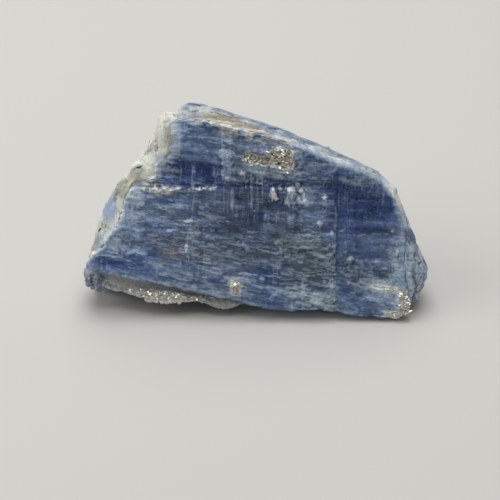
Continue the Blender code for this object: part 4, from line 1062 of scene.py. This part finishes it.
def lumpRelief(p, arc):
    # how far each point of the lump moves out: strands and steps, with
    # lumps on the crust and splintered steps on the right
    a, b, c = p[..., 0], p[..., 1], p[..., 2]
    u, v = alongGrain(a, b)
    left = ramp(np.interp(b, [12, 22, 31, 38, 47], [-38, -31, -29, -22.5, -19.5]) - a, -1, 1)
    right = ramp(a, 33, 36)
    rim = ramp(heightAt(lump["upper"], a) - b, 7, 5) * (1 - left) * ramp(-c, 12, 8)
    crust = (0.45 * layered(a / 2.6, b / 2.6, c / 2.6, seed=104)
             + 0.05 * noise(a / 0.5, b / 0.5, c / 0.5, seed=114))
    crust += 0.5 * terrace(layered(a / 2.4 + b / 3, b / 1.5, c / 2.4, seed=125), 3, 0.3)
    crust += 0.14 * layered(a / 1.1, b / 0.9, c / 1.1, seed=126) + 0.8
    splinters = 0.3 * terrace(noise((c + a) / 1.3 + 0.1 * b, b / 6, seed=127), 3, 0.3)
    splinters += (0.14 * noise((c + a) / 0.7 + 0.2 * b, b / 5, seed=120)
                  + 0.35 * layered(a / 3, b / 2.6, c / 2.4, seed=128))
    splinters += 0.3 * terrace(noise(b / 1.3, c / 0.9 + 0.1 * b, seed=129), 2.5, 0.3)
    splinters += 0.12 * noise(b / 0.6, c / 0.7, seed=130)
    splinters += np.interp(b, [2, 5, 8.5, 14, 20, 26], [0.0, 0.3, 1.1, 1.1, 0.4, 0.1])
    relief = 0.15 * layered(a / 4.5, arc / 0.5, c / 5, seed=101) * (1 - 0.7 * left)
    relief += 0.3 * terrace(noise(u / 6, v / 1.2, c / 1.5, seed=112), 2.5, 0.3) * (1 - left) * (1 - rim)
    relief += left * crust + right * splinters + 0.04 * noise(a / 0.6, b / 0.6, c / 0.6, seed=115) + 0.05
    peak = 0.8 * bell(a + 15.5, 3.0) * ramp(b, 47.5, 49.5) * ramp(-c, 12, 8)
    corner = (1.3 * bell(a + 20.6, 1.2) - 0.6 * bell(a + 24.5, 1.8)) * ramp(b, 36, 40) * ramp(-c, 14, 10)
    return relief + peak + corner


def eased(p, rounds, share):
    # a grid closed across, its points moved by a share of the way to
    # the mean of their neighbours, again and again
    for n in range(rounds):
        mean = 0.5 * (np.roll(p, 1, 1) + np.roll(p, -1, 1))
        mean[1:-1] = 0.5 * mean[1:-1] + 0.25 * (p[:-2] + p[2:])
        p = p + share(n) * (mean - p)
    return p


def buildLump():
    # the cage is drawn in onto the solid, torn edges come from a
    # bent lookup, and relief is added along the normals
    cage = lumpCage()
    stations, around = cage.shape[:2]
    a, b, c = cage[..., 0], cage[..., 1], cage[..., 2]
    bend = [1.5 * layered(a / 2.2, b / 1.2, c / 2, seed=91)]
    bend += [layered(a / 3.0, b / 1.6, c / 2, seed=seed) for seed in (92, 93)]
    bend = lump["warp"] * np.stack(bend, -1)
    index = np.arange(stations * around).reshape(stations, around)
    walls = [index[:-1], index[1:], np.roll(index, -1, 1)[1:], np.roll(index, -1, 1)[:-1]]
    walls = np.stack(walls, -1).reshape(-1, 4)
    solid = mergedCopy(cadNode)
    seated, met = seat(cage + bend, [walls, index[:1], index[-1:, ::-1]], solid)
    bpy.data.objects.remove(solid)
    print(f"lump: {int((~met).sum())} of {met.size} rays missed")
    crusted = ramp(a, -17, -24) * ramp(c, -16, -10)
    worn = np.maximum(crusted, ramp(heightAt(lump["upper"], a) - b, 7, 4) * ramp(c, -12, -7))[..., None]
    p = eased(spread(seated - bend, met), 14, lambda n: 0.35 if n < 2 else 0.5 * worn)
    arc = np.cumsum(np.linalg.norm(np.diff(cage, axis=1, prepend=cage[:, :1]), axis=-1), 1)
    p = p + lumpRelief(p, arc)[..., None] * gridNormals(p)
    # behind the broad face it keeps back, and below the shelf further still
    a, b, c = p[..., 0], p[..., 1], p[..., 2]
    outline = (broadFace["bottom"] + broadFace["right"][1:] + broadFace["top"][-2::-1]
               + broadFace["left"][-2:0:-1])
    outside = ramp(insideDistance(a, b, outline), 0.8, -0.6)
    c = np.where(c > -4, np.minimum(c, -1.4 + 2.2 * outside), c)
    below = ramp(heightAt(shelf["edge"], a) + 1.0 - b, -0.8, 0.4) * ramp(a, -2.0, -4.5)
    p = np.stack([a, b, c + below * (np.minimum(c, -9.0) - c)], -1)
    poles = [p[0].mean(0) - [0.1, 0, 0], p[-1].mean(0) + [0.1, 0, 0]]
    points = overFloor(np.concatenate([p.reshape(-1, 3), poles]))
    faces = [walls, fanFaces(index[0], len(points) - 2), fanFaces(index[-1], len(points) - 1)[:, ::-1]]
    tone, shine = lumpPaint(p, arc)
    smooth = eased(p, 25, lambda n: 0.6)
    surfaces["lump"] = smooth, gridNormals(smooth), tone
    return makePiece("lump", points, faces, capped(tone), capped(shine), bladeStone)


# The shelf under the lower left edge: smooth groove, crumpled mica lip and an underside darkened with painted
# shade

shelf = dict(
    stations=230, around=120, start=-41.5, end=-1.6, rounding=2.6,
    # along a: the edge of the blade above, the crest of the lip, its lower edge, and how much mica it has
    edge=[(-40.9, 11.6), (-39.5, 12.4), (-30.4, 10.0), (-23.3, 8.8), (-15.9, 7.05), (-4.75, 4.6), (2.1, 2.9)],
    crest=[(-40.9, 9.4), (-36, 8.4), (-33.5, 7.7), (-28, 7.0), (-24.8, 7.0), (-19.5, 6.4), (-14.7, 5.3),
           (-6.4, 4.5), (-1.6, 3.8)],
    low=[(-40.9, 8.3), (-39, 7.3), (-36.6, 6.8), (-32.8, 6.5), (-29.5, 5.5), (-26.6, 4.8), (-24.2, 3.8),
         (-20.9, 3.8), (-16.6, 4.0), (-13.8, 4.3), (-10.2, 2.9), (-7.6, 2.1), (-4.75, 2.8), (-1.6, 3.7)],
    lip=[(-40.9, 0.05), (-31, 0.12), (-28.8, 0.6), (-27, 1.0), (-16.5, 1.0), (-14.0, 0.4), (-11.5, 0.1),
         (-7, 0.22), (-1.6, 0.1)],
    # how far out the lower edge stands, and how deep the groove is
    near=[(-40.9, -2.6), (-38, -1.8), (-34, -1.5), (-28, -0.9), (-16, -0.7), (-6, -1.0), (-1.6, -0.9)],
    deep=[(-40.9, -3.0), (-38, -2.2), (-34, -2.3), (-12, -2.2), (-1.6, -2.0)],
    # where each corner of the outline comes among the points round it
    share=(0, 10, 20, 34, 52, 68, 72, 84, 96, 108, 120),
)


def shelfRings(a):
    # closed outlines in b and c: under the blade, down the groove, over the lip and back beneath, drawn in
    # at both ends; also the share of the way round at each point, and the lip's mica at each station
    edge, crest, low, lip, near, deep = (
        heightAt(shelf[key], a) for key in ("edge", "crest", "low", "lip", "near", "deep"))
    torn = 0.5 * layered(a / 1.1, a * 0, seed=301) + 0.25 * noise(a / 0.35, a * 0, seed=302)
    low, crest = low + torn * (0.5 + 0.5 * lip), crest + 0.3 * layered(a / 1.6, a * 0, seed=303)
    corners = [(edge + 1.2, deep - 0.6), (0.65 * edge + 0.35 * crest, deep),
               (0.3 * edge + 0.7 * crest, deep + 0.3), (crest, near - 0.6),
               (0.5 * crest + 0.5 * low, near - 0.1), (low + 0.15, near + 0.1), (low, near - 0.4),
               (low + 1.2, near - 3.4), (low + 3.0, near - 7.6), (edge, deep - 8.6)]
    path = np.stack([np.stack(corner, -1) for corner in corners + corners[:1]], 1)
    share = np.array(shelf["share"]) / shelf["around"]
    where = np.arange(shelf["around"]) / shelf["around"]
    k = np.searchsorted(share, where, "right") - 1
    t = ((where - share[k]) / (share[k + 1] - share[k]))[None, :, None]
    ring = path[:, k] * (1 - t) + path[:, k + 1] * t
    for _ in range(6):
        ring = 0.5 * ring + 0.25 * (np.roll(ring, 1, 1) + np.roll(ring, -1, 1))
    ends = np.minimum(a - a[0], a[-1] - a)
    squeeze = np.sqrt(np.clip(1 - np.maximum(1 - ends / shelf["rounding"], 0) ** 2, 0.002, 1))
    centre = ring.mean(1, keepdims=True)
    ring = centre + squeeze[:, None, None] * (ring - centre)
    return (np.concatenate([np.broadcast_to(a[:, None, None], ring.shape[:2] + (1,)), ring], -1), where,
            lip[:, None])


def buildShelf():
    # the outlines in a row, folded where there is mica and nearly
    # smooth elsewhere, then painted by their place
    p, where, lip = shelfRings(np.linspace(shelf["start"], shelf["end"], shelf["stations"]))
    onLip = ramp(where, 0.26, 0.31) * ramp(where, 0.62, 0.56)
    mica = onLip * lip
    a, b, c = p[..., 0], p[..., 1], p[..., 2]
    folds = 1 - 2.2 * np.abs(layered(a / 1.7, b / 0.8, c / 0.8, seed=305))
    creases = 1 - 2.0 * np.abs(layered(a / 0.7, b / 0.4, c / 0.5, seed=306))
    relief = (mica * (0.38 * folds + 0.2 * creases)
              + (1 - mica) * 0.07 * layered(a / 2.5, b / 0.5, c / 0.5, seed=307))
    relief += 0.25 * ramp(where, 0.5, 0.6) * layered(a / 1.2, b / 0.8, c / 0.8, seed=308)
    p = p - relief[..., None] * gridNormals(p)
    streak = layered(a / 3, b / 0.5, c / 0.5, seed=309)
    grit = noise(a / 0.3, b / 0.3, c / 0.3, seed=310)
    corner = ramp(a + 0.8 * noise(b / 1.0, c / 1.0, seed=312), -34.5, -37)
    grooved = ramp(where, 0.40, 0.30) * ramp(where, 0.24, 0.28) * (1 - corner)
    tone = coats(
        colour["groove"],
        (0.05 + 0.6 * streak, "shade"),
        (corner * (0.9 + 0.5 * noise(a / 1.0, b / 1.0, c, seed=311)), "dusky"),
        (corner * ramp(noise(a / 0.8, b / 0.5, c, seed=313), 0.2, 0.5) * 0.5, "slate"),
        (corner * ramp(noise(a / 0.9, b / 0.6, c, seed=314), 0.2, 0.5) * 0.7, "mint"),
        (grooved * ramp(streak + 0.5 * grit, -0.1, 0.4), "cream"),
        (onLip * (1 - lip) * (0.5 + 0.7 * streak), "slate"),
        (onLip * (1 - lip) * ramp(streak + 0.4 * grit, 0.0, 0.4) * 0.8, "pale"),
    )
    tone = coats(
        # the lip's mica is silver, with painted glints in white on the ridges of its folds and painted shade
        # in the folds
        paint(tone, mica * 1.2, coats(colour["silver"], (ramp(folds, 0.2, 0.8), "white"))),
        (mica * ramp(folds + 0.4 * creases, 0.1, -0.7), "shade"),
        # painted shade: the underside, from the lip's lower edge back beneath, in the dark under colour
        (ramp(where, 0.55, 0.58) * (1 - corner), "under"),
    )
    tone = tone * np.exp(0.15 * grit + 0.2 * streak)[..., None]
    stations, around = p.shape[:2]
    points = overFloor(np.concatenate([p.reshape(-1, 3), [p[0].mean(0), p[-1].mean(0)]]))
    first, last = np.arange(around), (stations - 1) * around + np.arange(around)
    faces = [gridFaces(stations, around, wrap=True), fanFaces(first, len(points) - 2)[:, ::-1],
             fanFaces(last, len(points) - 1)]
    surfaces["shelf"] = p, -gridNormals(p), mica * ramp(where, 0.53, 0.45)
    return makePiece("mica_lip", points, faces, capped(tone), capped(np.clip(0.4 + 0.5 * mica, 0, 1)),
                     micaStone)


# Small parts

flakes = dict(
    # on the broad face: middle a, b, spread, count, size
    groups=[(5.7, 39.0, 1.5, 1.0, 90, 0.9), (7.4, 36.8, .8, .6, 30, 0.9), (-.8, 38.6, 1.3, .6, 36, 0.7),
            (4.1, 30.4, .4, .8, 16, 0.6), (8.9, 30.6, .7, .8, 10, 0.4), (-4.7, 8.0, .5, .9, 90, 0.8),
            (35.9, 3.4, .6, 1.7, 130, 1.0), (34.0, 1.2, 1.2, .4, 50, 0.9), (32.4, 7.2, 2.0, .3, 20, 0.5)],
    lipCount=340, lipSize=1.25, glint=(0.0, 0.75, 0.66), thickness=(0.08, 0.16), length=(0.3, 0.8),
    width=(0.6, 1.5),
)
teeth = dict(low=6.8, high=10.5, right=-35.2, lean=(-0.55, -0.8, -0.2))
# number of shards, then the least and most of their length, width and depth
bladeEnds = dict(
    teeth=(80, (1.0, 0.6, 0.35), (2.6, 1.5, 0.7)), back=(420, (3.5, 1.4, 0.8), (10.0, 4.0, 1.5)),
    right=(190, (1.8, 0.35, 0.3), (5.0, 1.0, 0.7)), rim=(150, (1.4, 0.3, 0.2), (4.5, 0.9, 0.4)),
    grains=(240, (0.5, 0.4, 0.3), (1.5, 0.9, 0.6)),
)


def buildFlakes():
    # thin six-cornered plates, most of them leaning between the
    # surface's own normal and the direction that glints
    rng = np.random.default_rng(41)
    p, n, mask = listed(*surfaces["shelf"])
    pick = scatter(rng, mask, flakes["lipCount"])
    centre, facing, size = [p[pick] + 0.08 * n[pick]], [n[pick]], [np.full(len(pick), flakes["lipSize"])]
    for a, b, wideA, wideB, count, across in flakes["groups"]:
        a = a + wideA * np.clip(rng.normal(size=count), -2, 2)
        b = b + wideB * np.clip(rng.normal(size=count), -2, 2)
        centre.append(np.stack([a, b, faceRelief(a, b) + 0.1], -1))
        facing.append(np.tile([0.0, 0.0, 1.0], (count, 1)))
        size.append(np.full(count, across))
    centre, facing, size = np.concatenate(centre), np.concatenate(facing), np.concatenate(size)
    axis = unit(0.5 * np.array(flakes["glint"]) + 0.5 * facing + rng.normal(0, 0.33, centre.shape))
    sides = [rng.uniform(*flakes[key], len(size)) for key in ("thickness", "length", "width")]
    tone = shades(rng, len(centre), "silver", "white", "cream", "silver", "white")
    across = np.array([1.0, -0.2, 0.0]) + rng.normal(0, 0.5, centre.shape)
    size = size[:, None] * np.stack(sides, -1)
    return makeShards(rng, "mica_flakes", centre, axis, across, size, tone, 0.8, flakeStone, sink=0, cut=0.1)


def alongSurface(axis, normal, share=1.0):
    # each axis less a share of what of it points along the normal
    return axis - share * (axis * normal).sum(1, keepdims=True) * normal


def buildTeeth():
    # short blunt prisms over the lower left end, each bedded in the shelf and leaning down and to the left
    rng = np.random.default_rng(52)
    p, n, _ = listed(*surfaces["shelf"])
    place = ramp(p[:, 0], teeth["right"], teeth["right"] - 1.5) * ramp(p[:, 1], teeth["high"], teeth["low"])
    count, least, most = bladeEnds["teeth"]
    pick = scatter(rng, place * (n[:, 2] > -0.2), count)
    p, n = p[pick], n[pick]
    size = rng.uniform(least, most, p.shape)
    axis = unit(alongSurface(np.array(teeth["lean"]) + rng.normal(0, 0.16, p.shape), n, 0.8))
    tone = shades(rng, len(p), "dusky", "slate", "groove", "mint", "dusky")
    return makeShards(rng, "corner_teeth", p, axis, n, size, tone, 0.5, bladeStone)


def buildBackBlades():
    # long flat prisms lying with the grain on the back and underside, most of their depth bedded in it
    rng = np.random.default_rng(63)
    p, n, tone = listed(*surfaces["lump"])
    place = ramp(-p[:, 2], 8, 12) * ramp(np.abs(p[:, 0]), 38, 33) * ramp(-n @ forward, 0.35, 0.55)
    count, least, most = bladeEnds["back"]
    pick = scatter(rng, place, count)
    p, n, tone = p[pick], n[pick], tone[pick]
    axis = alongSurface(np.array([1.0, -grainFall, 0.0]) + rng.normal(0, 0.03, p.shape), n, 0.9)
    size = rng.uniform(least, most, p.shape)
    tone = tone + 0.5 * (colour["slate"] - tone)
    level = (unit(axis)[:, 0] > 0.93) & (np.abs(n[:, 0]) < 0.5)
    p, axis, n, size, tone = (values[level] for values in (p, axis, n, size, tone))
    return makeShards(rng, "back_blades", p, axis, n, size, tone, 0.5, bladeStone, sink=0.22, cut=0.4,
                      end=0.85)


def buildRightBlades():
    # narrow upright prisms on the right end
    rng = np.random.default_rng(74)
    p, n, _ = listed(*surfaces["lump"])
    place = ramp(p[:, 0], 35.0, 36.5) * ramp(p[:, 1], 28, 24) * ramp(p[:, 1] + 0.45 * p[:, 2], 2, 6)
    count, least, most = bladeEnds["right"]
    pick = scatter(rng, place, count)
    p, n = p[pick], n[pick]
    axis = alongSurface(np.array([0.12, 1.0, -0.2]) + rng.normal(0, 0.06, p.shape), n)
    size = rng.uniform(least, most, p.shape)
    tone = shades(rng, len(p), "strand", "ice", "pale", "mint")
    return makeShards(rng, "right_blades", p, axis, n, size, tone, 0.4, bladeStone, sink=0.1)


def buildRimSplinters():
    # thin splinters laid along the rim, each with the colour of the place it lies on
    rng = np.random.default_rng(85)
    along = unit(np.gradient(surfaces["lump"][0], axis=0))
    p, n, tone, along = listed(*surfaces["lump"], along)
    seen = heightSeen(p[:, 1], p[:, 2])
    foot, crest = heightAt(lump["foot"], p[:, 0]), heightAt(lump["crest"], p[:, 0])
    place = ramp(seen - foot, -0.2, 0.6) * ramp(crest - seen, 0.8, 1.4) * ramp(-p[:, 2], 7, 5)
    place = place * ramp(n @ forward, 0.3, 0.5) * ramp(np.abs(p[:, 0] - 7), 27, 25)
    count, least, most = bladeEnds["rim"]
    pick = scatter(rng, place, count)
    size = rng.uniform(least, most, (len(pick), 3))
    axis = along[pick] + rng.normal(0, 0.05, (len(pick), 3))
    return makeShards(rng, "rim_splinters", p[pick], axis, n[pick], size, tone[pick], 0.4, bladeStone)


def buildCrustGrains():
    # short stubby prisms bedded in the left crust, turned any way
    rng = np.random.default_rng(96)
    p, n, tone = listed(*surfaces["lump"])
    place = ramp(sideAt(broadFace["left"], p[:, 1]) - p[:, 0], 0.0, 1.0) * ramp(p[:, 1], 12, 16)
    place = place * ramp(-p[:, 2], 14, 9) * ramp(n @ forward, 0.2, 0.4)
    count, least, most = bladeEnds["grains"]
    pick = scatter(rng, place, count)
    p, n, tone = p[pick], n[pick], tone[pick]
    size = rng.uniform(least, most, p.shape)
    axis = np.cross(n, rng.normal(size=p.shape))
    return makeShards(rng, "crust_grains", p, axis, n, size, 1.04 * tone, 0.2, crustStone, sides=7)


# Assembly

pieces = [build() for build in (
    buildLump, buildBroadFace, buildShelf, buildFlakes, buildTeeth, buildBackBlades, buildRightBlades,
    buildRimSplinters, buildCrustGrains)]

# Floor, light and camera

studio = dict(
    floorSize=3.0, world=0.15,
    # each lamp's power in watts, size, distance, height and direction in degrees from behind the stone
    lamps=dict(behind=(2.4, 0.60, 0.80, 62.0, -2.0), above=(3.1, 0.70, 0.80, 88.0, 0.0),
               left=(2.15, 0.60, 0.80, 33.0, -97.0)),
)
look = dict(aimA=-1.2, aimB=17.0, distance=0.300, elevation=36.0, lens=90.87)


def buildFloor():
    # a wide flat sheet at height 0, in one pale colour
    size = studio["floorSize"]
    mesh = bpy.data.meshes.new("floor")
    mesh.from_pydata([(-size, -size, 0), (size, -size, 0), (size, size, 0), (-size, size, 0)], [],
                     [(0, 1, 2, 3)])
    floor = bpy.data.objects.new("floor", mesh)
    bpy.context.scene.collection.objects.link(floor)
    material = bpy.data.materials.new("pale paper")
    material.use_nodes = True
    shader = material.node_tree.nodes["Principled BSDF"]
    shader.inputs["Base Color"].default_value = (*linear(214, 212, 208), 1)
    shader.inputs["Roughness"].default_value = 0.9
    shader.inputs["Specular IOR Level"].default_value = 0.1
    mesh.materials.append(material)
    return floor


def buildLights():
    # a dim pale surround and three broad lamps, each aimed at the middle of the floor
    world = bpy.data.worlds.new("surround")
    world.use_nodes = True
    background = world.node_tree.nodes["Background"].inputs
    background["Color"].default_value = (1.0, 1.0, 0.99, 1)
    background["Strength"].default_value = studio["world"]
    bpy.context.scene.world = world
    for name, (power, size, distance, height, direction) in studio["lamps"].items():
        data = bpy.data.lights.new(name, "AREA")
        data.size = size
        data.energy = power
        data.color = (1.0, 0.995, 0.98)
        lamp = bpy.data.objects.new(name, data)
        up, turn = math.radians(height), math.radians(direction)
        away = math.cos(up) * math.sin(turn), math.cos(up) * math.cos(turn), math.sin(up)
        lamp.location = [distance * v for v in away]
        lamp.rotation_euler = (-(math.pi / 2 - up), 0, -turn)
        bpy.context.scene.collection.objects.link(lamp)


def buildCamera():
    # looks along +Y and down, at a point on the broad face
    aim = toWorld(np.array([look["aimA"], look["aimB"], 0.0]))
    up = math.radians(look["elevation"])
    camera = bpy.data.objects.new("camera", bpy.data.cameras.new("camera"))
    camera.data.lens = look["lens"]
    camera.data.sensor_width = 36.0
    camera.location = (aim[0], aim[1] - look["distance"] * math.cos(up),
                       aim[2] + look["distance"] * math.sin(up))
    camera.rotation_euler = (math.pi / 2 - up, 0, 0)
    bpy.context.scene.collection.objects.link(camera)
    bpy.context.scene.camera = camera


buildFloor()
buildLights()
buildCamera()
bpy.context.scene.view_settings.view_transform = "Standard"
print("floor, light and camera set")

for piece in pieces:
    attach(piece, "root")
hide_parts("kyanite_blades")
